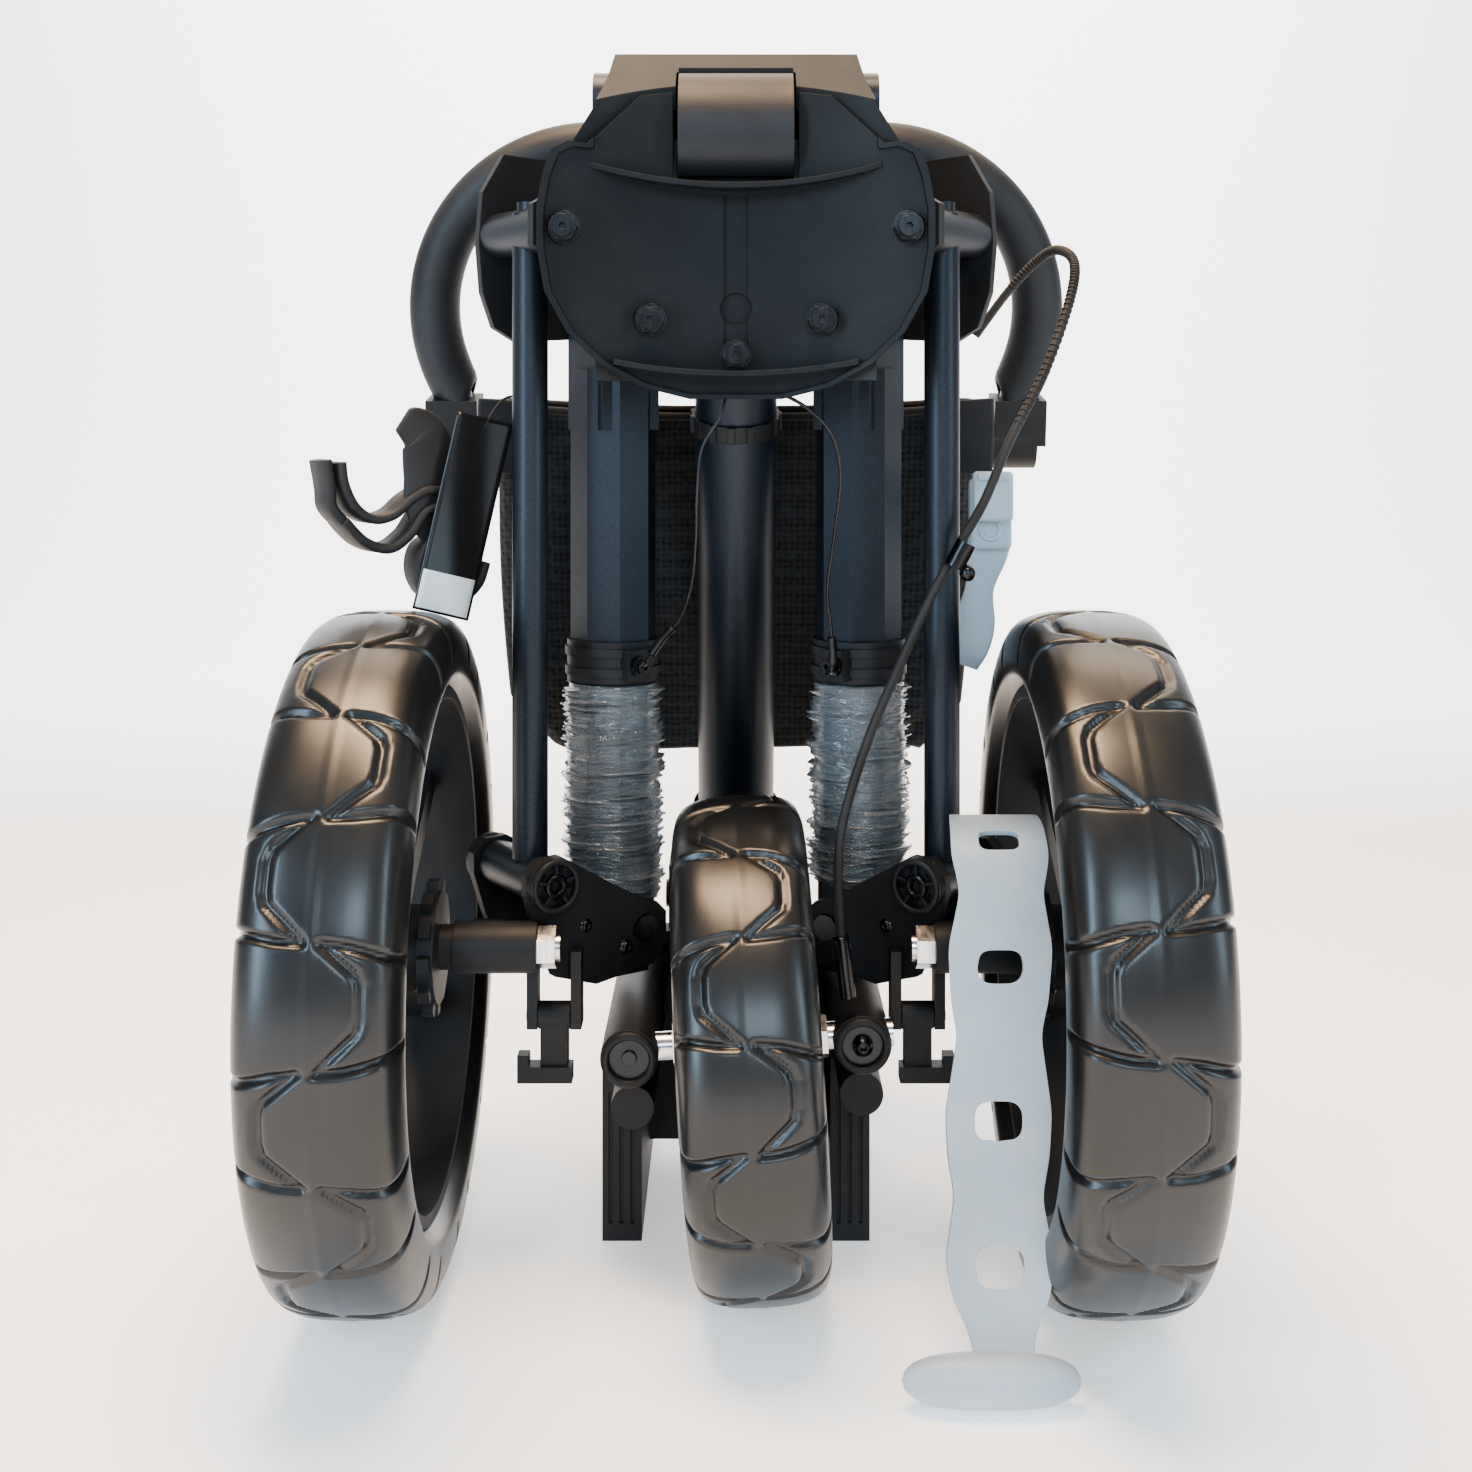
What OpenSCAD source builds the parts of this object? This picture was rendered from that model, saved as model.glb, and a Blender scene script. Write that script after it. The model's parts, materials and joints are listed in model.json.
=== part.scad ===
// Folded three-wheel golf push cart, standing on its wheels.
// Millimetres, +Z up, +X to the viewer's right, -Y toward the viewer.
// Origin on the floor under the middle of the footprint.

/* [Body] */
// Which piece to draw
// Rear wheel diameter
rear_d = 292; // [250:2:330]
// Rear tyre width
rear_w = 62; // [46:1:70]
// Distance between the two rear tyre centres
track = 306; // [290:2:380]
// Front wheel diameter
front_d = 210; // [190:2:216]
// Front tyre width
front_w = 58; // [40:1:60]
// Sideways lean of the folded front wheel, degrees
front_cant = 3.4; // [0:0.2:4]

/* [Legs and linkage] */
// Yaw of the leg pivot pins away from straight ahead, degrees
link_yaw = 35; // [28:1:38]
// Distance between the upper and lower pivots of a leg
link_len = 288; // [270:2:320]
// Leg tube width across flats
leg_af = 37; // [28:1:38]
// Rod diameter
rod_d = 16; // [10:1:18]

/* [Front arm] */
// Arm tube diameter
arm_d = 38; // [28:1:40]
// Backward tilt of the folded arm, degrees
arm_tilt = 19.7; // [17:0.1:22]

/* [Top plate] */
// Bag rest plate width
plate_w = 166; // [140:2:180]
// Bag rest plate wall
plate_t = 4; // [3:0.5:6]

/* [Handle] */
// Handle loop outer width
handle_w = 336; // [300:2:360]
// Handle tube diameter
handle_d = 20; // [16:1:24]

/* [Hidden] */
$fn = 48;
clear = 0.05;
rear_r = rear_d / 2;
front_r = front_d / 2;
axle_r = 6;
// pivot positions in the yawed frame (u outward-inward, v rearward)
leg_u = -12.6;
leg_v = 82;
rod_u = -61.7;
rod_v = 72.6;
leg_zb = 144 + (rear_r - 146);
leg_zt = leg_zb + link_len;
rod_zb = leg_zb + 27;
rod_zt = rod_zb + link_len;
// carrier cheek planes
ck_f0 = 53.5;
ck_f1 = 58.5;
ck_r0 = 104;
ck_r1 = 109;
// rear face of the hub's rear cheeks
hub_r1 = 105.2;
// hub height reference (leg upper pivot)
hz = leg_zt;
// front arm
arm_y = 40;
arm_z = hz + 8;
arm_len = 330;
// front wheel group
fw_z = front_r + 0.2;
// mast
mast_y = 104;
mast_z = hz + 26;
mast_len = 268;
wheel_x = track / 2;
// rearmost point of the folded mast, and the shift to the middle of the footprint
back_y = mast_y + 50 * cos(arm_tilt) + (mast_len + 10) * sin(arm_tilt);
mid_y = (back_y - rear_r) / 2;

module place() {
    translate([0, -mid_y, 0]) children();
}

module pair(s) {
    mirror([s > 0 ? 1 : 0, 0, 0]) children();
}

module yawed() {
    rotate([0, 0, link_yaw]) children();
}

// cylinder along the link pivot axis, in the yawed frame
module vcyl(u, z, v0, v1, r, f = 48) {
    translate([u, v0, z]) rotate([-90, 0, 0]) cylinder(r = r, h = v1 - v0, $fn = f);
}

// cylinder along X
module xcyl(y, z, x0, x1, r, f = 48) {
    translate([x0, y, z]) rotate([0, 90, 0]) cylinder(r = r, h = x1 - x0, $fn = f);
}

// cylinder along Y
module ycyl(x, z, y0, y1, r, f = 48) {
    translate([x, y0, z]) rotate([-90, 0, 0]) cylinder(r = r, h = y1 - y0, $fn = f);
}

// things along the folded arm: local -Z runs down the arm from its pivot
module arm_frame() {
    translate([0, arm_y, arm_z]) rotate([arm_tilt, 0, 0]) children();
}

module mast_frame() {
    translate([0, mast_y, mast_z]) rotate([arm_tilt, 0, 0]) children();
}

// leaning frame of the front wheel, pivoting at the wheel top
module cant() {
    translate([0, 0, front_d]) rotate([0, -front_cant, 0]) translate([0, 0, -front_d]) children();
}

// ---------- hub ----------
module hub_side() {
    // left half of the hub block: cheek beside the arm with a foot toward the plate
    difference() {
        union() {
            translate([-33, 0, hz - 36]) cube([8, 64, 101]);
            translate([-33, 40, hz - 4]) cube([8, 88, 54]);
            // front wall that the plate bolts to
            translate([-60, -16, hz - 40]) cube([35, 22, 96]);
            // rear wall
            translate([-32, 60, hz + 30]) cube([34, 12, 33]);
        }
        plate_back();
        xcyl(arm_y, arm_z, -36, -24, 8 + clear);
        xcyl(mast_y, mast_z, -36, -24, 8 + clear);
    }
}

module plate_back() {
    translate([0, -plate_r - 2.4, hz - 90]) cylinder(r = plate_r + 0.02, h = 280, $fn = 120);
}

module hub_housing() {
    color("#16181b") difference() {
        union() {
            hub_side();
            mirror([1, 0, 0]) hub_side();
            // top bridge under the saddle
            translate([-33, 37.4, hz + 60]) cube([66, 20.6, 16]);
            // low front sill joining the two front walls
            translate([-28, -1.8, hz - 38]) cube([56, 7.8, 14]);
        }
        for (p = [[-36.5, -14], [36.5, -14], [0, -29]]) ycyl(p[0], hz + p[1], -40, 20, 3.05, 24);
    }
}

module hub_saddle() {
    // sloped shell over the hub, wide at the shoulders
    color("#17191c") difference() {
        translate([0, 54, 0]) rotate([90, 0, 0]) linear_extrude(78)
            polygon([[-54, hz + 106], [54, hz + 106], [56, hz + 92], [61, hz + 76], [69, hz + 62],
                [70, hz + 56.2], [36, hz + 56.2], [33.1, hz + 60], [33.1, hz + 76.5], [-33.1, hz + 76.5],
                [-33.1, hz + 60], [-36, hz + 56.2], [-70, hz + 56.2], [-69, hz + 62], [-61, hz + 76],
                [-56, hz + 92]]);
        plate_back();
        // open in front of the barrel
        translate([-25.1, -40, hz + 50]) cube([50.2, 50, 80]);
        // front slopes up and back from the top of the plate
        translate([-90, -9, hz + 84]) rotate([36, 0, 0]) translate([0, -60, 0]) cube([180, 130, 60]);
        xcyl(10, hz + 68, -26, 26, 27.2);
        xcyl(45, hz + 89, -90, 90, 13);
    }
}

module hub_cross_tube() {
    color("#202731") difference() {
        xcyl(45, hz + 89, -65, 65, 12.7);
        xcyl(45, hz + 89, -67, 67, 10.5);
    }
}

module hub_barrel() {
    color("#1b2026") difference() {
        xcyl(10, hz + 68, -24.9, 24.9, 27);
        xcyl(10, hz + 68, -27, 27, 19);
        translate([-30, 6.2, hz + 20]) cube([60, 40, 43]);
        translate([-30, -30, hz + 20]) cube([60, 27.9, 28]);
    }
}

// ---------- plate ----------
plate_r = 150;
half_outline = [[27, 84], [41, 82], [53, 70], [63, 60], [71, 60.5], [77, 57], [80.5, 47],
    [83, 32], [83, 16], [80, -3], [71, -20], [58, -33], [40, -43], [20, -48]];
module plate_outline() {
    n = len(half_outline);
    scale([plate_w / 166, 1]) polygon(concat(
        [for (i = [0:n - 1]) half_outline[i]],
        [for (i = [n - 1:-1:0]) [-half_outline[i][0], half_outline[i][1]]],
        [[-27, 46], [27, 46]]));
}

// upright cylinder wall with the given inner radius
module plate_wall(r_in) {
    translate([0, -plate_r - 2.4, hz - 60]) difference() {
        cylinder(r = plate_r, h = 180, $fn = 120);
        translate([0, 0, -1]) cylinder(r = r_in, h = 182, $fn = 120);
    }
}

module bag_rest_plate() {
    // concave shell: part of a large upright cylinder wall, cut to the outline
    color("#14171b") difference() {
        union() {
            intersection() {
                plate_wall(plate_r - plate_t);
                translate([0, 0, hz]) rotate([90, 0, 0]) linear_extrude(60) plate_outline();
            }
            // raised lip along the edge
            intersection() {
                plate_wall(plate_r - plate_t - 2.4);
                translate([0, 0, hz]) rotate([90, 0, 0]) linear_extrude(60) difference() {
                    plate_outline();
                    translate([0, 6]) scale([0.965, 0.96]) translate([0, -6]) plate_outline();
                    translate([-60, 46]) square([120, 60]);
                }
            }
            fin(hz + 41.5, 225, 62);
            fin(hz - 38.4, 273, 52);
        }
        translate([-5.2, -7.6, hz - 26]) cube([10.4, 2.4, 66]);
        ycyl(0, hz - 9, -12, -3.9, 6.8);
        for (p = [[-72, 24], [72, 24], [-36.5, -14], [36.5, -14], [0, -29]])
            ycyl(p[0], hz + p[1], -60, 20, 3.1, 24);
        // flat seats under the nuts
        for (s = [-1, 1]) {
            ycyl(s * 72, hz + 24, -60, plate_y(72) - 2.6, 7.2);
            ycyl(s * 36.5, hz - 14, -60, plate_y(36.5) - 1.4, 7.2);
        }
    }
}

// thin ledge across the hollow of the plate, sagging in the middle
module fin(z, r, w) {
    intersection() {
        translate([0, -20.5, z + r]) rotate([-90, 0, 0]) difference() {
            cylinder(r = r, h = 18, $fn = 160);
            translate([0, 0, -1]) cylinder(r = r - 2.4, h = 20, $fn = 160);
        }
        translate([0, -plate_r - 2.4, z - 5]) cylinder(r = plate_r - 1, h = 60, $fn = 120);
        translate([-w, -30, z - 5]) cube([2 * w, 40, 40]);
    }
}

module plate_nut(x, y, z, r) {
    translate([x, y, z]) rotate([90, 0, 0]) difference() {
        union() {
            cylinder(r = r * 0.98, h = 1.2, $fn = 32);
            cylinder(r = r * 0.86, h = 6, $fn = 6);
            cylinder(r = r * 0.62, h = 8.4, $fn = 32);
            translate([0, 0, -12]) cylinder(r = 3, h = 16, $fn = 24);
        }
        translate([0, 0, 6]) cylinder(r = 1.6, h = 3, $fn = 6);
    }
}

function plate_y(x) = -plate_r - 2.4 + sqrt((plate_r - plate_t) * (plate_r - plate_t) - x * x);

module plate_bolts() {
    color("#2b2d30") {
        for (x = [-72, 72]) plate_nut(x, plate_y(x) - 2.6, hz + 24, 7);
        for (x = [-36.5, 36.5]) plate_nut(x, plate_y(x) - 1.4, hz - 14, 7);
    }
}

module plate_centre_bolt() {
    color("#2b2d30") plate_nut(0, plate_y(0) - 0.25, hz - 29, 6.9);
}

// ---------- hub cheeks that carry a leg and a rod ----------
module cheek_plate() {
    polygon([[leg_u + 14, leg_zt - 18], [leg_u - 16, leg_zt - 20], [rod_u + 8, rod_zt - 48],
        [rod_u - 3, rod_zt - 42], [rod_u - 9, rod_zt - 26], [rod_u - 11, rod_zt - 3],
        [rod_u - 9, rod_zt + 20], [rod_u + 2, rod_zt + 38], [leg_u + 10, leg_zt + 62],
        [leg_u + 14, leg_zt + 50]]);
}

module hub_cheeks(s) {
    color("#15171a") pair(s) difference() {
        yawed() difference() {
            union() {
                translate([0, hub_r1, 0]) rotate([90, 0, 0]) linear_extrude(4) cheek_plate();
                translate([0, 53, 0]) rotate([90, 0, 0]) linear_extrude(5)
                    polygon([[leg_u + 12, leg_zt - 16], [leg_u - 14, leg_zt - 16],
                        [rod_u + 2, rod_zt - 14], [rod_u - 12, rod_zt - 8], [rod_u - 12, rod_zt + 10],
                        [rod_u + 2, rod_zt + 18], [leg_u + 12, leg_zt + 40]]);
                // roof joining front and rear cheeks
                translate([leg_u - 9, 48.6, leg_zt + 37]) rotate([0, 14, 0]) cube([18, hub_r1 - 49.4, 5]);
            }
            vcyl(leg_u, leg_zt, 40, 120, 6 + clear);
            vcyl(rod_u, rod_zt, 40, 120, 5 + clear);
        }
        // flush against the hub block
        translate([-33.1, -60, hz - 80]) cube([80, 260, 260]);
        // stay behind the plate wall
        translate([-60.1, -20, hz - 44]) cube([40, 26.1, 104]);
    }
}

module hub_pivot_pins() {
    color("#3a3d41") for (s = [-1, 1]) pair(s) yawed() {
        vcyl(leg_u, leg_zt, 48.2, hub_r1 + 2, 6);
        vcyl(rod_u, rod_zt, 46, hub_r1 + 2, 5);
    }
}

module hub_cross_pins() {
    color("#3a3d41") {
        xcyl(arm_y, arm_z, -33, 33, 8);
        xcyl(mast_y, mast_z, -33, 33, 8);
    }
}

// ---------- legs ----------
module leg_tube(s) {
    color("#1d2530") pair(s) yawed() difference() {
        union() {
            translate([leg_u, leg_v, leg_zb + 26]) rotate([0, 0, 22.5])
                cylinder(d = leg_af / cos(22.5), h = link_len - 60, $fn = 8);
            // plastic end sockets
            translate([leg_u - 15, leg_v - 16, leg_zt - 62]) cube([30, 32, 44]);
            vcyl(leg_u, leg_zt, leg_v - 14, leg_v + 14, 15);
            translate([leg_u - 15, leg_v - 14, leg_zt - 24]) cube([30, 28, 24]);
            vcyl(leg_u, leg_zb, leg_v - 12, leg_v + 12, 15);
            translate([leg_u - 15, leg_v - 12, leg_zb]) cube([30, 24, 32]);
        }
        translate([leg_u, leg_v, leg_zb + 38]) cylinder(d = leg_af - 6, h = link_len - 110);
        vcyl(leg_u, leg_zt, 40, 120, 6 + clear);
        vcyl(leg_u, leg_zb, 40, 120, 6 + clear);
    }
}

module leg_collar(s) {
    color("#101114") pair(s) yawed() translate([leg_u, leg_v, leg_zb + 110]) difference() {
        union() {
            cylinder(r = 21.4, h = 19);
            translate([0, 0, 3]) cylinder(r = 22.4, h = 4);
            translate([0, 0, 12]) cylinder(r = 22.4, h = 4);
            // ear for the bolt, toward the middle front
            translate([-8, -27, 2]) cube([10, 12, 14]);
        }
        translate([0, 0, -1]) rotate([0, 0, 22.5])
            cylinder(d = leg_af / cos(22.5) + 0.02, h = 22, $fn = 8);
        translate([-3, -30, 9]) rotate([-90, 0, 0]) cylinder(r = 2.55, h = 14, $fn = 24);
    }
}

module collar_bolt(s) {
    color("#4a4c50") pair(s) yawed() translate([leg_u - 3, leg_v - 27, leg_zb + 119]) rotate([90, 0, 0]) {
        difference() {
            union() {
                cylinder(r = 4.6, h = 3, $fn = 32);
                cylinder(r = 3.6, h = 6, $fn = 6);
                translate([0, 0, -7.6]) cylinder(r = 2.5, h = 9, $fn = 24);
            }
            translate([0, 0, 4]) cylinder(r = 1.6, h = 3, $fn = 6);
        }
    }
}

module shipping_sleeve(s) {
    color("#cfd6dc") pair(s) yawed() translate([leg_u, leg_v, leg_zb + 23]) difference() {
        cylinder(r = 21.4, h = 86);
        translate([0, 0, -1]) cylinder(r = 20.6, h = 88);
    }
}

// ---------- stay rods ----------
module stay_rod(s) {
    color("#1b222c") pair(s) yawed() difference() {
        union() {
            translate([rod_u, rod_v, rod_zb + 8]) cylinder(d = rod_d, h = link_len);
            translate([rod_u, rod_v, rod_zt + 8]) cylinder(d = rod_d - 4, h = 5);
            vcyl(rod_u, rod_zt, 54, hub_r1 - 4.4, 10.5);
            vcyl(rod_u, rod_zb, 60, 102.5, 10);
        }
        vcyl(rod_u, rod_zt, 40, 120, 5 + clear);
        vcyl(rod_u, rod_zb, 40, 120, 5 + clear);
    }
}

// ---------- wheel carrier ----------
module carrier_cheek() {
    polygon([[rod_u - 12, rod_zb - 4], [rod_u - 12, rod_zb + 5], [rod_u - 6, rod_zb + 11],
        [rod_u + 5, rod_zb + 11.5], [rod_u + 14, rod_zb + 6], [leg_u - 8, leg_zb + 17],
        [leg_u + 6, leg_zb + 11], [leg_u + 11, leg_zb + 6], [leg_u + 11, leg_zb - 7],
        [leg_u + 4, leg_zb - 17], [leg_u - 26, leg_zb - 21], [rod_u + 2, leg_zb - 14],
        [rod_u - 6, leg_zb + 4]]);
}

module wheel_carrier(s) {
    ax = wheel_x - 31;
    color("#0f1012") pair(s) difference() {
        union() {
            yawed() {
                for (v = [[ck_f0, ck_f1], [ck_r0, ck_r1]])
                    translate([0, v[1], 0]) rotate([90, 0, 0]) linear_extrude(v[1] - v[0]) carrier_cheek();
                vcyl(rod_u, rod_zb, 50.5, 54, 12);
                vcyl(rod_u, rod_zb, 108.5, 112, 12);
                // floor web between the cheeks
                translate([leg_u - 26, ck_f1 - 1, leg_zb - 21]) cube([30, ck_r0 - ck_f1 + 2, 5]);
            }
            // axle housing
            xcyl(0, rear_r, -ax, -ax + 36, 11);
            xcyl(0, rear_r, -ax - 6, -ax + 10, 9.6);
            // web from the housing to the front cheek
            translate([-ax + 4, 0, rear_r - 10]) cube([30, 30, 14]);
            // lugs that hold the brake pawl
            for (x = [-pawl_x - 12, -pawl_x + 7.3])
                translate([x, pawl_y - 5, leg_zb - 37]) cube([4.7, 12, 34]);
        }
        xcyl(0, rear_r, -ax - 20, -40, axle_r + 0.02);
        // room for the nut on the inner end of the axle
        xcyl(0, rear_r, -ax + 36, -ax + 60, 10.4);
        xcyl(pawl_y, leg_zb - 32, -pawl_x - 30, -pawl_x + 30, 2.52);
        yawed() {
            vcyl(rod_u, rod_zb, 40, 120, 5 + clear);
            vcyl(leg_u, leg_zb, 40, 120, 6 + clear);
            // room for the rod foot
            vcyl(rod_u, rod_zb, ck_f1, ck_r0, 12);
            translate([rod_u - 20, ck_f1, rod_zb]) cube([32, ck_r0 - ck_f1, 60]);
            translate([rod_u - 60, ck_f1, rod_zb - 10]) cube([60, ck_r0 - ck_f1, 60]);
            // five-spoke face relief
            for (a = [0:72:288]) translate([rod_u, 52, rod_zb]) rotate([90, a, 0])
                translate([6, -2, 0]) cube([4, 4, 4]);
        }
    }
}

module carrier_pins(s) {
    color("#6d6f72") pair(s) {
        yawed() {
            vcyl(rod_u, rod_zb, 49.5, 113, 5);
            vcyl(leg_u, leg_zb, 52, 110.5, 6);
        }
        xcyl(pawl_y, leg_zb - 32, -pawl_x - 12.5, -pawl_x + 12.5, 2.5);
    }
}

// ---------- rear wheels ----------
module rear_axle(s) {
    ax = wheel_x - 31;
    color("#c9ccce") pair(s) {
        xcyl(0, rear_r, -wheel_x - 24, -ax + 46, axle_r);
        difference() {
            xcyl(0, rear_r, -ax + 36.05, -ax + 44, 9.4, 6);
            xcyl(0, rear_r, -ax + 30, -ax + 50, axle_r - 0.02);
        }
        difference() {
            xcyl(0, rear_r, -wheel_x - 28, -wheel_x - 23.5, 10);
            xcyl(0, rear_r, -wheel_x - 24.5, -wheel_x - 20, axle_r - 0.02);
        }
    }
}

module tyre_shape(r, w, rim) {
    h = w / 2;
    rotate_extrude($fn = 96) polygon([[rim, -h + 8], [rim + 3, -h + 3], [r - 26, -h], [r - 14, -h + 0.6],
        [r - 6, -h + 4], [r - 2.4, -h + 10], [r - 0.8, -h + 20], [r - 0.6, -1.2], [r, -0.6], [r, 0.6],
        [r - 0.6, 1.2], [r - 0.8, h - 20], [r - 2.4, h - 10], [r - 6, h - 4], [r - 14, h - 0.6],
        [r - 26, h], [rim + 3, h - 3], [rim, h - 8]]);
}

module rear_tyre(s) {
    color("#1c1b1a") pair(s) translate([-wheel_x, 0, rear_r]) rotate([0, 90, 0])
        tyre_shape(rear_r, rear_w, rear_r - 34);
}

module rim_shape(r, w, hub_r, gear) {
    h = w / 2;
    difference() {
        union() {
            difference() {
                cylinder(r = r, h = w - 12, center = true, $fn = 96);
                cylinder(r = r - 5, h = w, center = true, $fn = 96);
            }
            // spoke disc
            for (a = [0:60:300]) rotate([0, 0, a])
                translate([hub_r - 4, -7, -6]) cube([r - hub_r + 1.5, 14, 12]);
            translate([0, 0, -h + 8]) cylinder(r = hub_r, h = w - 14);
            // toothed brake ring on the inner side
            if (gear) for (a = [0:30:330]) rotate([0, 0, a])
                translate([hub_r - 1, -3.2, h - 12]) cube([12, 6.4, 5]);
            if (gear) translate([0, 0, h - 13]) cylinder(r = hub_r + 6, h = 7);
        }
        cylinder(r = axle_r + clear, h = w + 20, center = true);
    }
}

module rear_rim(s) {
    color("#0d0e0f") pair(s) translate([-wheel_x, 0, rear_r]) rotate([0, 90, 0])
        rim_shape(rear_r - 34 - 0.01, rear_w, 18, true);
}

// ---------- brake pawls ----------
pawl_x = 80;
pawl_y = 14;
module brake_pawl(s) {
    z = leg_zb - 32;
    color("#0b0c0d") pair(s) difference() {
        union() {
            xcyl(pawl_y, z, -pawl_x - 7, -pawl_x + 7, 6);
            translate([-pawl_x - 6, pawl_y - 5, z - 26]) cube([12, 8, 26]);
            translate([-pawl_x - 16, pawl_y - 7, z - 28]) cube([24, 10, 7]);
            translate([-pawl_x - 16, pawl_y - 7, z - 22]) cube([5, 8, 6]);
        }
        xcyl(pawl_y, z, -pawl_x - 30, -pawl_x + 30, 2.5 + clear);
    }
}

// ---------- front arm ----------
module arm_tube() {
    color("#1c2531") arm_frame() difference() {
        union() {
            translate([0, 0, -arm_len + 40]) cylinder(d = arm_d, h = arm_len - 40 - 6);
            translate([0, 0, -10]) cylinder(d = arm_d, h = 10);
            xcyl(0, 0, -24.5, 24.5, 16);
        }
        translate([0, 0, -arm_len + 39]) cylinder(d = arm_d - 5, h = arm_len - 90);
        xcyl(0, 0, -30, 30, 8 + clear);
    }
}

module arm_collar() {
    color("#0e0f11") arm_frame() translate([0, 0, -74]) difference() {
        union() {
            cylinder(d = arm_d + 3, h = 8);
            for (a = [0:24:336]) rotate([0, 0, a]) translate([arm_d / 2 + 0.6, -1.6, 0]) cube([2, 3.2, 8]);
        }
        translate([0, 0, -1]) cylinder(d = arm_d + 2 * clear, h = 10);
    }
}

crown_y = arm_y + sin(arm_tilt) * arm_len;
crown_z = arm_z - cos(arm_tilt) * arm_len;
module fork_crown() {
    color("#101113") difference() {
        union() {
            arm_frame() {
                translate([0, 0, -arm_len + 10]) cylinder(d = arm_d + 4.8, h = 44);
                xcyl(0, -arm_len, -20, 20, 17);
                translate([-20, -17, -arm_len]) cube([40, 34, 14]);
            }
        }
        arm_frame() {
            translate([0, 0, -arm_len + 40]) cylinder(d = arm_d + 0.02, h = 40);
            xcyl(0, -arm_len, -30, 30, 7 + clear);
        }
    }
}

// ---------- fork ----------
fork_x = [-52, 48];
module fork_yoke() {
    color("#0d0e10") difference() {
        union() {
            cant() {
                for (x = fork_x) {
                    // tube pointing forward to the axle
                    ycyl(x, fw_z, -14, crown_y - 20, 12.4);
                    // lower stay
                    ycyl(x - 1, fw_z - 27, 2, crown_y - 20, 9.5);
                    translate([x - 8, 20, fw_z - 30]) cube([16, crown_y - 42, 34]);
                }
            }
            // side boxes that stand on the floor beside the wheel
            for (s = [-1, 1]) translate([s > 0 ? 43 : -61, 40, 0]) difference() {
                cube([18, crown_y - 34, 84]);
                for (k = [3, 8, 13]) translate([k, -0.5, 8]) cube([1.6, 1.6, 60]);
            }
            // bridge behind the wheel
            translate([-60, crown_y - 30, 14]) cube([120, 15, 104]);
            translate([-34, crown_y - 20, crown_z - 23]) cube([12, 38, 42]);
            translate([22, crown_y - 20, crown_z - 23]) cube([12, 38, 42]);
        }
        xcyl(crown_y, crown_z, -50, 50, 7 + clear);
        cant() {
            xcyl(0, fw_z, -80, 80, axle_r + 0.02);
            for (x = fork_x) ycyl(x, fw_z, -20, -11, 9.6);
        }
        // room for the crown
        xcyl(crown_y, crown_z, -21.5, 21.5, 22);
    }
}

module fork_caps() {
    color("#1a1b1d") cant() for (x = fork_x) {
        ycyl(x, fw_z, -13, -11, 9.5);
        ycyl(x, fw_z, -14.5, -13, 3.2, 32);
    }
}

module fork_axle() {
    color("#c9ccce") cant() {
        xcyl(0, fw_z, -62, 62, axle_r);
        for (x = [-33.5, 30.5]) difference() {
            xcyl(0, fw_z, x, x + 3, 9.5, 6);
            xcyl(0, fw_z, x - 1, x + 4, axle_r - 0.02);
        }
    }
}

module fork_hinge_pin() {
    color("#3a3d41") xcyl(crown_y, crown_z, -36, 36, 7);
}

module front_tyre() {
    color("#1c1b1a") cant() translate([0, 0, fw_z]) rotate([0, 90, 0])
        tyre_shape(front_r, front_w, front_r - 30);
}

module front_rim() {
    color("#0d0e0f") cant() translate([0, 0, fw_z]) rotate([0, 90, 0])
        rim_shape(front_r - 30 - 0.01, front_w, 16, false);
}

// ---------- mast ----------
module mast_tube() {
    color("#1c2531") mast_frame() difference() {
        union() {
            translate([-16, -11, -mast_len + 18]) cube([32, 22, mast_len - 26]);
            xcyl(0, 0, -24.5, 24.5, 15);
            xcyl(14, -mast_len + 4, -16, 16, 12);
            translate([-16, -11, -mast_len + 4]) cube([32, 25, 16]);
        }
        translate([-13, -8, -mast_len + 30]) cube([26, 16, mast_len - 60]);
        xcyl(0, 0, -30, 30, 8 + clear);
        xcyl(14, -mast_len + 4, -30, 30, 5 + clear);
    }
}

module mast_hinge() {
    color("#0f1012") mast_frame() difference() {
        for (s = [-1, 1]) translate([s > 0 ? 16.6 : -24.6, 0, -mast_len - 10]) cube([8, 50, 40]);
        xcyl(14, -mast_len + 4, -30, 30, 5 + clear);
        xcyl(38, -mast_len + 12, -30, 30, 5 + clear);
    }
}

module mast_upper_tube() {
    color("#1c2531") mast_frame() difference() {
        union() {
            translate([-14, 29, -mast_len + 12]) cube([28, 20, 190]);
            xcyl(38, -mast_len + 12, -14, 14, 10.4);
        }
        translate([-11, 32, -mast_len + 34]) cube([22, 14, 150]);
        xcyl(38, -mast_len + 12, -30, 30, 5 + clear);
    }
}

module mast_hinge_pins() {
    color("#3a3d41") mast_frame() {
        xcyl(14, -mast_len + 4, -26, 26, 5);
        xcyl(38, -mast_len + 12, -26, 26, 5);
    }
}

// ---------- handle ----------
hand_z = mast_z - 96;
hand_y = mast_y + 74;
loop_r = 85;
loop_top = handle_w / 2 - handle_d / 2 - loop_r;
module handle_frame() {
    translate([0, hand_y, hand_z]) rotate([10, 0, 0]) children();
}

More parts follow.
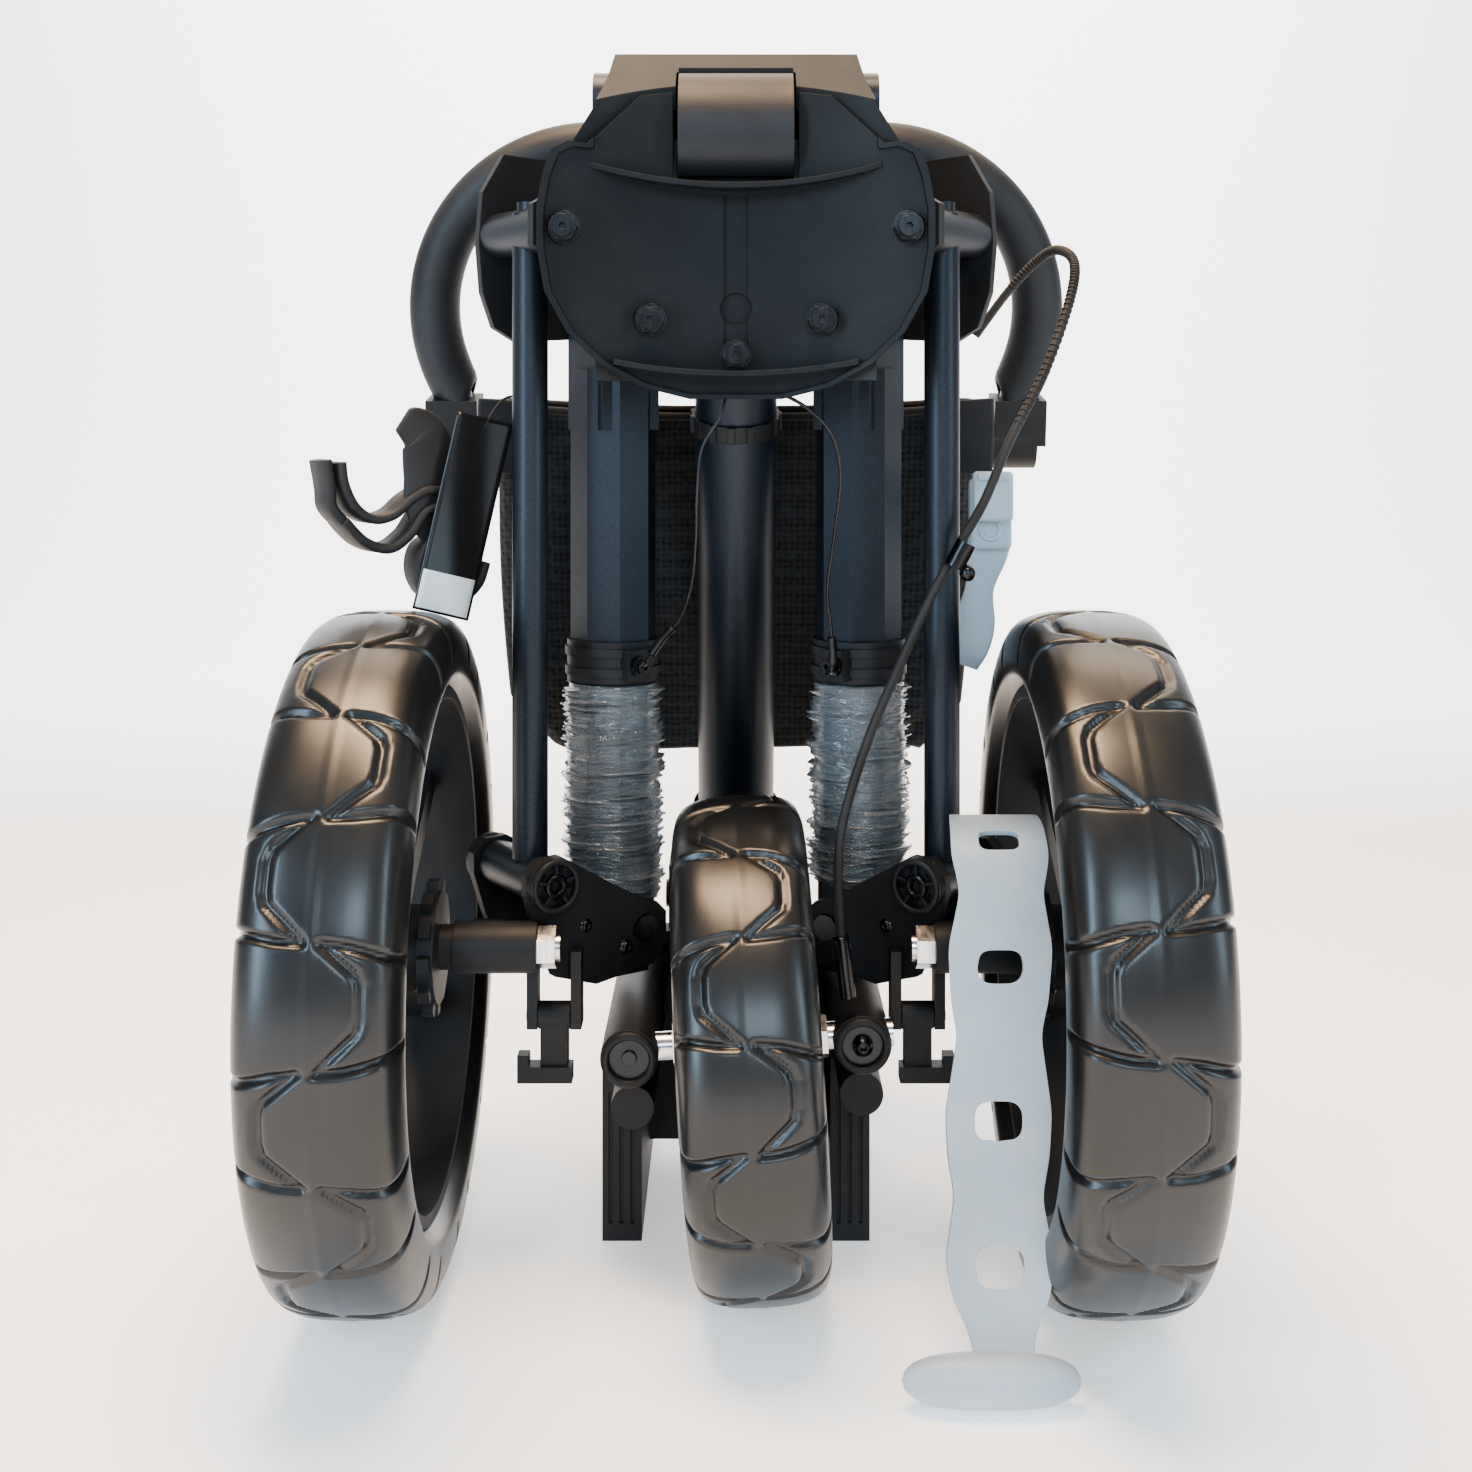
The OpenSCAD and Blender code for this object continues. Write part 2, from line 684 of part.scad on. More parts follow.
module handle_yoke() {
    color("#0f1012") difference() {
        union() {
            translate([-124, hand_y - 9, hand_z - 9]) cube([248, 18, 18]);
            for (s = [-1, 1]) xcyl(hand_y, hand_z, s > 0 ? 118 : -132, s > 0 ? 132 : -118, 12);
            mast_frame() translate([-19, 24, -116]) cube([38, 30, 34]);
        }
        xcyl(hand_y, hand_z, -150, -110, 4 + clear);
        xcyl(hand_y, hand_z, 110, 150, 4 + clear);
        mast_frame() translate([-14, 29, -mast_len + 2]) cube([28, 20, 200]);
    }
}

// frame of a straight end of the loop, its end at the origin
module loop_end(s) {
    handle_frame() translate([s * (loop_top + loop_r * cos(13)), 0, 70 - loop_r * sin(13)])
        rotate([0, s * 13, 0]) translate([0, 0, -36]) children();
}

module handle_clamps() {
    color("#0d0e10") for (s = [-1, 1]) {
        difference() {
            union() {
                xcyl(hand_y, hand_z, s > 0 ? 132.4 : -158, s > 0 ? 158 : -132.4, 14);
                handle_frame() translate([s * (handle_w / 2 - 19) - 13.5, -13, 0]) cube([27, 26, 24]);
            }
            loop_end(s) translate([0, 0, -0.05]) cylinder(d = handle_d + 0.02, h = 60);
        }
        xcyl(hand_y, hand_z, s > 0 ? 112 : -149, s > 0 ? 149 : -112, 4);
    }
}

module loop_sweep(d_out, d_in, a0) {
    handle_frame() translate([0, 0, 70]) rotate([90, 0, 0]) {
        for (s = [-1, 1]) mirror([s > 0 ? 1 : 0, 0, 0]) translate([-loop_top, 0, 0]) rotate([0, 0, 90])
            rotate_extrude(angle = a0, $fn = 64) translate([loop_r, 0]) ring2d(d_out, d_in);
        translate([-loop_top, loop_r, 0]) rotate([0, 90, 0]) linear_extrude(2 * loop_top) ring2d(d_out, d_in);
    }
}

module ring2d(d_out, d_in) {
    difference() {
        circle(d = d_out, $fn = 32);
        if (d_in > 0) circle(d = d_in, $fn = 32);
    }
}

module handle_loop() {
    color("#1c2531") {
        loop_sweep(handle_d, 0, 103);
        for (s = [-1, 1]) loop_end(s) cylinder(d = handle_d, h = 36);
    }
}

module handle_grip() {
    color("#151618") loop_sweep(handle_d + 6, handle_d + 0.02, 55);
}

// ---------- soft goods on the mast ----------
module pouch() {
    color("#101113") mast_frame() translate([-122, -34, -254]) cube([244, 22, 184]);
}

lift = rear_d - 292;
module strap_black() {
    // curled rubber strap with two eyes, standing out to the left behind the rod
    color("#141415") yawed() translate([0, 126, lift]) rotate([90, 0, 0]) linear_extrude(19) difference() {
        polygon([[-74, 356], [-88, 355], [-98, 345], [-104, 336], [-116, 328], [-126, 326],
            [-132, 332], [-133, 346], [-136, 346], [-136, 328], [-128, 320], [-116, 322],
            [-104, 328], [-94, 322], [-92, 312], [-98, 306], [-92, 298],
            [-80, 297], [-74, 300]]);
        translate([-84, 311]) circle(r = 6);
    }
}

module swing_tag() {
    color("#1a1a1c") yawed() translate([-76, 105.2, 336 + lift]) rotate([0, 14, 0])
        translate([-12, 0, -44]) cube([24, 0.7, 88]);
}

module buckle_body() {
    color("#a9bac6") translate([0, 0, lift]) difference() {
        translate([112, 78, 312]) cube([20, 12, 34]);
        ycyl(122, 326, 76, 82, 5);
    }
}

module buckle_lever() {
    color("#a9bac6") translate([112, 71, 318 + lift]) cube([20, 6.8, 30]);
}

// grey silicone strap draped over the right axle housing, hanging to the floor
strap_path = [for (p = [[12, 197], [2, 200], [-14, 197], [-27, 184], [-36, 160], [-46, 122], [-58, 82],
    [-72, 46], [-86, 22], [-96, 10]]) [p[0], p[1] * (1 + (rear_r - 146) / 190)]];
function strap_n(i) = let(
        a = strap_path[max(0, i - 1)], b = strap_path[min(len(strap_path) - 1, i + 1)],
        d = b - a, l = norm(d)) [d[1] / l, -d[0] / l];
module strap_grey() {
    n = len(strap_path);
    color("#b9c7d1") {
        difference() {
            translate([88, 0, 0]) rotate([90, 0, 90]) linear_extrude(34) polygon(concat(
                [for (i = [0:n - 1]) strap_path[i] + 1.3 * strap_n(i)],
                [for (i = [n - 1:-1:0]) strap_path[i] - 1.3 * strap_n(i)]));
            for (p = [[-32, 172], [-41, 141], [-54, 96], [-70, 50]])
                translate([105, p[0], p[1]]) rotate([15, 0, 0]) cube([16, 30, 13], center = true);
        }
        translate([62, -101, 11.2]) rotate([0, 90, 0]) cylinder(r = 11, h = 56);
    }
}

// ---------- cables ----------
function unit(v) = v / norm(v);
function ring(p, t, r, k) = let(
        a = unit(cross(t, abs(t[1]) < 0.9 ? [0, 1, 0] : [1, 0, 0])), b = cross(t, a))
    [for (i = [0:k - 1]) p + r * (cos(360 * i / k) * a + sin(360 * i / k) * b)];
function tangent(pts, i) = unit(pts[min(len(pts) - 1, i + 1)] - pts[max(0, i - 1)]);
function smooth(p, m) = [for (i = [0:len(p) - 2]) for (j = [0:m - 1]) let(
        q0 = p[max(0, i - 1)], q1 = p[i], q2 = p[i + 1], q3 = p[min(len(p) - 1, i + 2)], t = j / m)
    0.5 * ((2 * q1) + (q2 - q0) * t + (2 * q0 - 5 * q1 + 4 * q2 - q3) * t * t
        + (3 * q1 - q0 - 3 * q2 + q3) * t * t * t)];
module cord(pts, r, k = 8) {
    n = len(pts);
    polyhedron(
        points = [for (i = [0:n - 1]) each ring(pts[i], tangent(pts, i), r, k)],
        faces = concat([[for (j = [k - 1:-1:0]) j]], [[for (j = [0:k - 1]) (n - 1) * k + j]],
            [for (i = [0:n - 2]) for (j = [0:k - 1])
                [i * k + j, i * k + (j + 1) % k, (i + 1) * k + (j + 1) % k, (i + 1) * k + j]]),
        convexity = 8);
}

cable_pts = [[48, -12, 128], [44, -16, 165], [45, -14, 200], [56, -8, 235], [68, -2, 262],
    [84, 2, 296], [98, 8, 320], [110, 15, 339], [123, 25, 366], [141, 40, 397], [155, 55, 430],
    [159, 65, 448], [154, 75, 455], [146, 82, 452], [132, 88, 437], [116, 92, 415]];
module brake_cable() {
    color("#0c0d0e") cord(smooth(cable_pts, 5), 2.2);
}

module cable_clamp() {
    color("#6f7276") {
        translate([98, 4, 316]) rotate([0, 28, 0]) cylinder(r = 4.6, h = 12, center = true, $fn = 32);
        translate([101, 3, 308]) sphere(r = 3.6, $fn = 24);
    }
}

lan_l = [[-40, 27, 266], [-33, 24, 277], [-24.5, 19, 287.5], [-19.5, 14, 303], [-17.6, 10, 322],
    [-17, 6, 342], [-15, 4, 362], [-7, 2, 376], [-4, 3, 388]];
lan_r = [[42, 27, 262], [43.5, 27, 271], [42.5, 26, 283], [41, 22, 300], [44, 16, 326], [46, 10, 350],
    [42, 4, 368], [31, 0, 380], [18.7, -1, 387]];
module lanyard(pts) {
    color("#55585c") cord(smooth(pts, 5), 0.8);
}

place() hub_housing();
place() hub_saddle();
place() hub_cross_tube();
place() hub_barrel();
place() bag_rest_plate();
place() plate_bolts();
place() plate_centre_bolt();
place() hub_cheeks(-1);  // hub_cheeks_left
place() hub_cheeks(1);  // hub_cheeks_right
place() hub_pivot_pins();
place() hub_cross_pins();
place() leg_tube(-1);  // leg_tube_left
place() leg_tube(1);  // leg_tube_right
place() leg_collar(-1);  // leg_collar_left
place() leg_collar(1);  // leg_collar_right
place() collar_bolt(-1);  // collar_bolt_left
place() collar_bolt(1);  // collar_bolt_right
place() shipping_sleeve(-1);  // shipping_sleeve_left
place() shipping_sleeve(1);  // shipping_sleeve_right
place() stay_rod(-1);  // stay_rod_left
place() stay_rod(1);  // stay_rod_right
place() wheel_carrier(-1);  // wheel_carrier_left
place() wheel_carrier(1);  // wheel_carrier_right
place() carrier_pins(-1);  // carrier_pins_left
place() carrier_pins(1);  // carrier_pins_right
place() rear_axle(-1);  // rear_axle_left
place() rear_axle(1);  // rear_axle_right
place() rear_tyre(-1);  // rear_tyre_left
place() rear_tyre(1);  // rear_tyre_right
place() rear_rim(-1);  // rear_rim_left
place() rear_rim(1);  // rear_rim_right
place() brake_pawl(-1);  // brake_pawl_left
place() brake_pawl(1);  // brake_pawl_right
place() arm_tube();
place() arm_collar();
place() fork_crown();
place() fork_yoke();
place() fork_caps();
place() fork_axle();
place() fork_hinge_pin();
place() front_tyre();
place() front_rim();
place() mast_tube();
place() mast_hinge();
place() mast_hinge_pins();
place() mast_upper_tube();
place() handle_yoke();
place() handle_clamps();
place() handle_loop();
place() handle_grip();
place() pouch();
place() strap_black();
place() swing_tag();
place() buckle_body();
place() buckle_lever();
place() strap_grey();
place() brake_cable();
place() cable_clamp();
place() lanyard(lan_l);  // lanyard_left
place() lanyard(lan_r);  // lanyard_right
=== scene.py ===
"""Looks for the folded three-wheel golf push cart. Metres, +Z up, the front of the view is -Y."""

import json
import math

import bmesh
import bpy
import numpy as np
from mathutils import Matrix, Vector


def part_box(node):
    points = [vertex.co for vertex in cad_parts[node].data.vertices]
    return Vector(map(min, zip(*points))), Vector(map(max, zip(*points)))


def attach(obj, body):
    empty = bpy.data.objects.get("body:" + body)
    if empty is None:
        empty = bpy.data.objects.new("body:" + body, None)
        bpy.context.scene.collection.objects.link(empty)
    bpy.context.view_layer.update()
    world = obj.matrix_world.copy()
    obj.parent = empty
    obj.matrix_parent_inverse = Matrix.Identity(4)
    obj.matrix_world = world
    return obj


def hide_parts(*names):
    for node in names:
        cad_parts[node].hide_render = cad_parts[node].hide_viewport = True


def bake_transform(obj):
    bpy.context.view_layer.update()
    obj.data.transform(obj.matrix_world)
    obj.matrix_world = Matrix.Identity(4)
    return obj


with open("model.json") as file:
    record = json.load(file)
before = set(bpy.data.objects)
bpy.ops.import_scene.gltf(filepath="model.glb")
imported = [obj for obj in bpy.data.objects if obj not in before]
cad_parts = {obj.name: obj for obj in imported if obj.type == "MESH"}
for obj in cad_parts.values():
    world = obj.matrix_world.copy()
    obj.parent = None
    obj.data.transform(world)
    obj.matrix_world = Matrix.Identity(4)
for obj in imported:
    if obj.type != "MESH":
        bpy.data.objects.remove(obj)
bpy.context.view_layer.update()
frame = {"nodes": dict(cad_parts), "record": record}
NODES = frame["nodes"]


def box(node):
    low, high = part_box(node)
    return Vector(low), Vector(high)


def middle(node):
    low, high = box(node)
    return (low + high) / 2


# ---------------------------------------------------------------- where things are
AXLE = middle("rear_tyre_left")
Y0 = AXLE.y
CAMERA_Y = -796
CAMERA_Z = 381.5
REAR_R = (box("rear_tyre_left")[1].z - box("rear_tyre_left")[0].z) / 2
REAR_W = box("rear_tyre_left")[1].x - box("rear_tyre_left")[0].x
FRONT_R = 0.105
FRONT_W = 0.058
FRONT_CANT = math.radians(3.4)
LINK_YAW = math.radians(35)
ARM_TILT = math.radians(19.7)


def at(x, y, z):
    """A place given from the rear axle's plane, in millimetres."""
    return Vector((x / 1000, Y0 + y / 1000, z / 1000))


# ---------------------------------------------------------------- materials
def node_material(name, **sockets):
    m = bpy.data.materials.new(name)
    m.use_nodes = True
    shader = m.node_tree.nodes["Principled BSDF"]
    for key, value in sockets.items():
        shader.inputs[key.replace("_", " ")].default_value = value
    return m, m.node_tree, shader


def add(tree, kind, **values):
    n = tree.nodes.new(kind)
    for key, value in values.items():
        if hasattr(n, key):
            setattr(n, key, value)
        else:
            n.inputs[key.replace("_", " ")].default_value = value
    return n


def noise(tree, scale, detail=4.0, rough=0.55, stretch=(1, 1, 1)):
    coord = add(tree, "ShaderNodeTexCoord")
    mapping = add(tree, "ShaderNodeMapping")
    mapping.inputs["Scale"].default_value = stretch
    tree.links.new(coord.outputs["Object"], mapping.inputs["Vector"])
    n = add(tree, "ShaderNodeTexNoise", Scale=scale, Detail=detail, Roughness=rough)
    tree.links.new(mapping.outputs["Vector"], n.inputs["Vector"])
    return n


def ramp(tree, source, low, high, start=0.3, end=0.7):
    r = add(tree, "ShaderNodeValToRGB")
    r.color_ramp.elements[0].position = start
    r.color_ramp.elements[1].position = end
    r.color_ramp.elements[0].color = low
    r.color_ramp.elements[1].color = high
    tree.links.new(source, r.inputs["Fac"])
    return r


def grey(v):
    return (v, v, v, 1)


def rough_from(tree, shader, source, low, high):
    m = add(tree, "ShaderNodeMapRange")
    m.inputs["To Min"].default_value = low
    m.inputs["To Max"].default_value = high
    tree.links.new(source, m.inputs["Value"])
    tree.links.new(m.outputs["Result"], shader.inputs["Roughness"])


def bump_from(tree, shader, sources, edge=0.0):
    """Bump made of several (source, strength, distance) layers, on rounded edges."""
    last = None
    if edge:
        bevel = add(tree, "ShaderNodeBevel", samples=4)
        bevel.inputs["Radius"].default_value = edge
        last = bevel.outputs["Normal"]
    for source, strength, distance in sources:
        b = add(tree, "ShaderNodeBump")
        b.inputs["Strength"].default_value = strength
        b.inputs["Distance"].default_value = distance
        tree.links.new(source, b.inputs["Height"])
        if last:
            tree.links.new(last, b.inputs["Normal"])
        last = b.outputs["Normal"]
    tree.links.new(last, shader.inputs["Normal"])


def moulded_plastic(name, low, high, roughness=(0.42, 0.58), grain=1400, strength=0.25, edge=0.0006,
                    shine=0.4):
    m, t, s = node_material(name, Specular_IOR_Level=shine)
    mottled = noise(t, 18, 5)
    t.links.new(ramp(t, mottled.outputs["Fac"], low, high).outputs["Color"], s.inputs["Base Color"])
    wear = noise(t, 55, 6, 0.65)
    rough_from(t, s, wear.outputs["Fac"], *roughness)
    bump_from(t, s, [(noise(t, grain, 2, 0.6).outputs["Fac"], strength, 0.0002)], edge)
    return m


def painted_tube(name, low, high, edge=0.0):
    m, t, s = node_material(name, Metallic=0.55, Coat_Weight=0.25, Coat_Roughness=0.35)
    flakes = noise(t, 2600, 2, 0.5)
    cloud = noise(t, 9, 3)
    mix = add(t, "ShaderNodeMix", data_type="RGBA", blend_type="MIX")
    base = ramp(t, cloud.outputs["Fac"], low, high, 0.25, 0.75)
    spark = ramp(t, flakes.outputs["Fac"], low, tuple(min(1, c * 2.4) for c in high[:3]) + (1,), 0.45, 0.72)
    mix.inputs["Factor"].default_value = 0.45
    t.links.new(base.outputs["Color"], mix.inputs["A"])
    t.links.new(spark.outputs["Color"], mix.inputs["B"])
    t.links.new(mix.outputs["Result"], s.inputs["Base Color"])
    rough_from(t, s, flakes.outputs["Fac"], 0.34, 0.5)
    ripple = noise(t, 260, 3)
    bump_from(t, s, [(flakes.outputs["Fac"], 0.12, 0.0001), (ripple.outputs["Fac"], 0.05, 0.0003)], edge)
    return m


def tyre_rubber(name):
    m, t, s = node_material(name, Specular_IOR_Level=0.62, Coat_Weight=0.12, Coat_Roughness=0.22)
    cloud = noise(t, 11, 6, 0.6)
    colour = ramp(t, cloud.outputs["Fac"], (0.006, 0.0065, 0.0075, 1), (0.015, 0.0155, 0.0165, 1))
    t.links.new(colour.outputs["Color"], s.inputs["Base Color"])
    rough_from(t, s, noise(t, 38, 7, 0.7).outputs["Fac"], 0.24, 0.42)
    fine = noise(t, 900, 3, 0.6)
    coarse = noise(t, 60, 5, 0.6)
    bump_from(t, s, [(fine.outputs["Fac"], 0.10, 0.0002), (coarse.outputs["Fac"], 0.05, 0.0008)])
    return m


def metal(name, colour, rough=(0.18, 0.34), scratch=420):
    m, t, s = node_material(name, Metallic=1.0)
    n = noise(t, scratch, 4, 0.6, (1, 1, 0.15))
    dark = tuple(c * 0.7 for c in colour[:3]) + (1,)
    t.links.new(ramp(t, n.outputs["Fac"], dark, colour).outputs["Color"], s.inputs["Base Color"])
    rough_from(t, s, n.outputs["Fac"], *rough)
    bump_from(t, s, [(n.outputs["Fac"], 0.08, 0.0001)], 0.0003)
    return m


def silicone(name, low, high, rough=(0.38, 0.5), sub=0.12):
    m, t, s = node_material(name, Subsurface_Weight=sub, Subsurface_Scale=0.004, Specular_IOR_Level=0.45)
    cloud = noise(t, 26, 5)
    t.links.new(ramp(t, cloud.outputs["Fac"], low, high).outputs["Color"], s.inputs["Base Color"])
    rough_from(t, s, noise(t, 90, 4).outputs["Fac"], *rough)
    bump_from(t, s, [(noise(t, 700, 3).outputs["Fac"], 0.08, 0.0002)])
    return m


def clear_film(name):
    m, t, s = node_material(name, IOR=1.42, Specular_IOR_Level=1.0, Transmission_Weight=0.86, Coat_Weight=1.0,
                            Coat_Roughness=0.04)
    # painted light: transmission stays below 1 so the near-white base colour shows as a painted silvery
    # sheen, and the crease bands are lighter still as painted glints; the same crease noise also drives the
    # real crinkle bump
    crease_and_painted_glint = noise(t, 210, 6, 0.62, (0.22, 0.22, 2.4))
    colour = ramp(t, crease_and_painted_glint.outputs["Fac"], (0.80, 0.87, 0.93, 1), (0.97, 0.99, 1.0, 1), 0.35, 0.65)
    t.links.new(colour.outputs["Color"], s.inputs["Base Color"])
    rough_from(t, s, noise(t, 300, 3).outputs["Fac"], 0.0, 0.07)
    bump_from(t, s, [(crease_and_painted_glint.outputs["Fac"], 1.0, 0.0022)])
    return m


def woven(name, low, high, scale=900):
    m, t, s = node_material(name, Sheen_Weight=0.25, Specular_IOR_Level=0.25)
    coord = add(t, "ShaderNodeTexCoord")
    waves = []
    for axis in ("X", "Z"):
        w = add(t, "ShaderNodeTexWave", wave_type="BANDS", bands_direction=axis)
        w.inputs["Scale"].default_value = scale
        w.inputs["Distortion"].default_value = 0.6
        t.links.new(coord.outputs["Object"], w.inputs["Vector"])
        waves.append(w)
    mix = add(t, "ShaderNodeMath", operation="MAXIMUM")
    t.links.new(waves[0].outputs["Fac"], mix.inputs[0])
    t.links.new(waves[1].outputs["Fac"], mix.inputs[1])
    t.links.new(ramp(t, mix.outputs["Value"], low, high, 0.2, 0.9).outputs["Color"], s.inputs["Base Color"])
    rough_from(t, s, noise(t, 200, 3).outputs["Fac"], 0.7, 0.9)
    bump_from(t, s, [(mix.outputs["Value"], 0.5, 0.0004)])
    return m


def mesh_fabric(name):
    """Open black netting: round holes through a dark knit."""
    m, t, s = node_material(name, Sheen_Weight=0.1, Specular_IOR_Level=0.4)
    coord = add(t, "ShaderNodeTexCoord")
    cells = add(t, "ShaderNodeTexVoronoi", feature="F1")
    cells.inputs["Scale"].default_value = 330
    cells.inputs["Randomness"].default_value = 0.25
    t.links.new(coord.outputs["Object"], cells.inputs["Vector"])
    hole = add(t, "ShaderNodeMapRange")
    hole.inputs["From Min"].default_value = 0.10
    hole.inputs["From Max"].default_value = 0.2
    t.links.new(cells.outputs["Distance"], hole.inputs["Value"])
    cover = add(t, "ShaderNodeMapRange")
    cover.inputs["To Min"].default_value = 0.72
    t.links.new(hole.outputs["Result"], cover.inputs["Value"])
    t.links.new(cover.outputs["Result"], s.inputs["Alpha"])
    colour = ramp(t, cells.outputs["Distance"], (0.006, 0.006, 0.007, 1), (0.03, 0.031, 0.034, 1))
    t.links.new(colour.outputs["Color"], s.inputs["Base Color"])
    rough_from(t, s, noise(t, 160, 3).outputs["Fac"], 0.6, 0.85)
    bump_from(t, s, [(cells.outputs["Distance"], 0.7, 0.0006)])
    return m


BLACK = moulded_plastic("black_plastic", (0.011, 0.012, 0.014, 1), (0.022, 0.024, 0.028, 1))
BLACK_FINE = moulded_plastic("black_plastic_plate", (0.009, 0.0105, 0.0125, 1), (0.016, 0.0185, 0.022, 1),
                             (0.44, 0.56), 2200, 0.3, 0.0008, 0.22)
GLOSS_CAP = moulded_plastic("gloss_cap", (0.02, 0.025, 0.03, 1), (0.035, 0.045, 0.055, 1),
                            (0.18, 0.3), 600, 0.08)
TUBE = painted_tube("painted_tube", (0.010, 0.0145, 0.021, 1), (0.021, 0.030, 0.043, 1))
TYRE = tyre_rubber("tyre_rubber")
DARK_STEEL = metal("dark_steel", (0.055, 0.056, 0.06, 1), (0.2, 0.36))
BRIGHT_STEEL = metal("bright_steel", (0.82, 0.83, 0.85, 1), (0.12, 0.28))
FILM = clear_film("clear_film")
GREY_SILICONE = silicone("grey_silicone", (0.36, 0.44, 0.51, 1), (0.44, 0.52, 0.59, 1))
GREY_PLASTIC = silicone("grey_plastic", (0.33, 0.43, 0.51, 1), (0.40, 0.50, 0.58, 1),
                        (0.3, 0.42), 0.05)
GRIP = moulded_plastic("grip_rubber", (0.014, 0.016, 0.020, 1), (0.026, 0.031, 0.038, 1),
                       (0.45, 0.6), 1800, 0.35, 0.0)
BLACK_RUBBER = silicone("black_rubber", (0.012, 0.012, 0.013, 1), (0.03, 0.03, 0.032, 1),
                        (0.5, 0.68), 0.0)
MESH = mesh_fabric("mesh_fabric")
WEBBING = woven("webbing", (0.008, 0.008, 0.009, 1), (0.03, 0.031, 0.034, 1))
CARD = moulded_plastic("tag_card", (0.012, 0.012, 0.014, 1), (0.02, 0.02, 0.022, 1),
                       (0.2, 0.3), 500, 0.05, 0.0)
LABEL = moulded_plastic("tag_label", (0.62, 0.72, 0.8, 1), (0.75, 0.84, 0.9, 1),
                        (0.3, 0.4), 500, 0.05, 0.0)

BY_SLOT = {
    "black_plastic": BLACK, "painted_tube": TUBE, "tyre_rubber": TYRE, "dark_steel": DARK_STEEL,
    "bright_steel": BRIGHT_STEEL, "clear_film": FILM, "mesh_fabric": MESH, "black_rubber": BLACK_RUBBER,
    "grey_silicone": GREY_SILICONE, "grey_plastic": GREY_PLASTIC, "tag_card": CARD,
}
SLOT_OF = {s["node"]: s["material_slot"] for s in frame["record"]["subparts"]}


def paint(obj, material):
    obj.data.materials.clear()
    obj.data.materials.append(material)


for name, obj in NODES.items():
    if not obj.material_slots:
        obj.data.materials.append(None)
    for slot in obj.material_slots:
        slot.material = BY_SLOT[SLOT_OF[name]]


def finish_as(name, material):
    for slot in NODES[name].material_slots:
        slot.material = material


finish_as("bag_rest_plate", BLACK_FINE)
finish_as("hub_saddle", BLACK_FINE)
finish_as("fork_caps", GLOSS_CAP)


# ---------------------------------------------------------------- mesh helpers
def new_object(name, verts, faces, material, smooth=True):
    mesh = bpy.data.meshes.new(name)
    mesh.from_pydata([tuple(v) for v in verts], [], [tuple(f) for f in faces])
    mesh.validate()
    mesh.update()
    obj = bpy.data.objects.new(name, mesh)
    bpy.context.scene.collection.objects.link(obj)
    if smooth:
        for p in mesh.polygons:
            p.use_smooth = True
    paint(obj, material)
    return obj


def keep(obj, body, slot_name, *nodes):
    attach(obj, body)
    if nodes:
        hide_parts(*nodes)
    return obj


def apply(obj):
    """Applies every modifier on obj."""
    dg = bpy.context.evaluated_depsgraph_get()
    mesh = bpy.data.meshes.new_from_object(obj.evaluated_get(dg))
    obj.modifiers.clear()
    obj.data = mesh
    return obj


def catmull(points, steps):
    """A smooth line through the points."""
    p = [Vector(q) for q in points]
    out = []
    for i in range(len(p) - 1):
        a, b, c, d = p[max(0, i - 1)], p[i], p[i + 1], p[min(len(p) - 1, i + 2)]
        for k in range(steps):
            t = k / steps
            out.append(0.5 * (2 * b + (c - a) * t + (2 * a - 5 * b + 4 * c - d) * t * t
                              + (3 * b - a - 3 * c + d) * t * t * t))
    out.append(p[-1])
    return out


def tube(name, points, radius, material, sides=12, radius_at=None):
    """A round tube along points, closed at both ends."""
    pts = [Vector(p) for p in points]
    verts, faces = [], []
    up = Vector((0, 0, 1))
    for i, p in enumerate(pts):
        t = (pts[min(i + 1, len(pts) - 1)] - pts[max(i - 1, 0)]).normalized()
        if i == 0:
            up = t.orthogonal().normalized()
        up = (up - t * up.dot(t)).normalized()
        side = t.cross(up)
        r = radius_at(i / (len(pts) - 1)) if radius_at else radius
        for k in range(sides):
            a = 2 * math.pi * k / sides
            verts.append(p + r * (math.cos(a) * up + math.sin(a) * side))
    for i in range(len(pts) - 1):
        for k in range(sides):
            a, b = i * sides + k, i * sides + (k + 1) % sides
            faces.append((a, b, b + sides, a + sides))
    faces.append(tuple(range(sides - 1, -1, -1)))
    last = (len(pts) - 1) * sides
    faces.append(tuple(range(last, last + sides)))
    return new_object(name, verts, faces, material)


def cord_piece(name, points, radius, material, steps=10, sides=12):
    """A round cord along a smooth line through points; returns it and the line."""
    line = catmull(points, steps)
    return tube(name, line, radius, material, sides), line


def tidy(obj, merge=0.0):
    """Joins points closer than merge and turns every face outward."""
    bm = bmesh.new()
    bm.from_mesh(obj.data)
    if merge:
        bmesh.ops.remove_doubles(bm, verts=bm.verts, dist=merge)
    bmesh.ops.recalc_face_normals(bm, faces=bm.faces)
    bm.to_mesh(obj.data)
    bm.free()
    return obj


def lathe(name, centre, axis, profile, material, count=48):
    """A closed ring profile of (radius, height) in millimetres, turned about axis at centre."""
    axis = Vector(axis).normalized()
    across = axis.orthogonal().normalized()
    up = axis.cross(across)
    verts, faces = [], []
    m = len(profile)
    for k in range(count):
        a = 2 * math.pi * k / count
        d = math.cos(a) * across + math.sin(a) * up
        for r, h in profile:
            verts.append(centre + d * (r / 1000) + axis * (h / 1000))
    for k in range(count):
        for i in range(m):
            a, b = k * m + i, k * m + (i + 1) % m
            c, d = ((k + 1) % count) * m + (i + 1) % m, ((k + 1) % count) * m + i
            faces.append((a, d, c, b))
    return tidy(new_object(name, verts, faces, material))


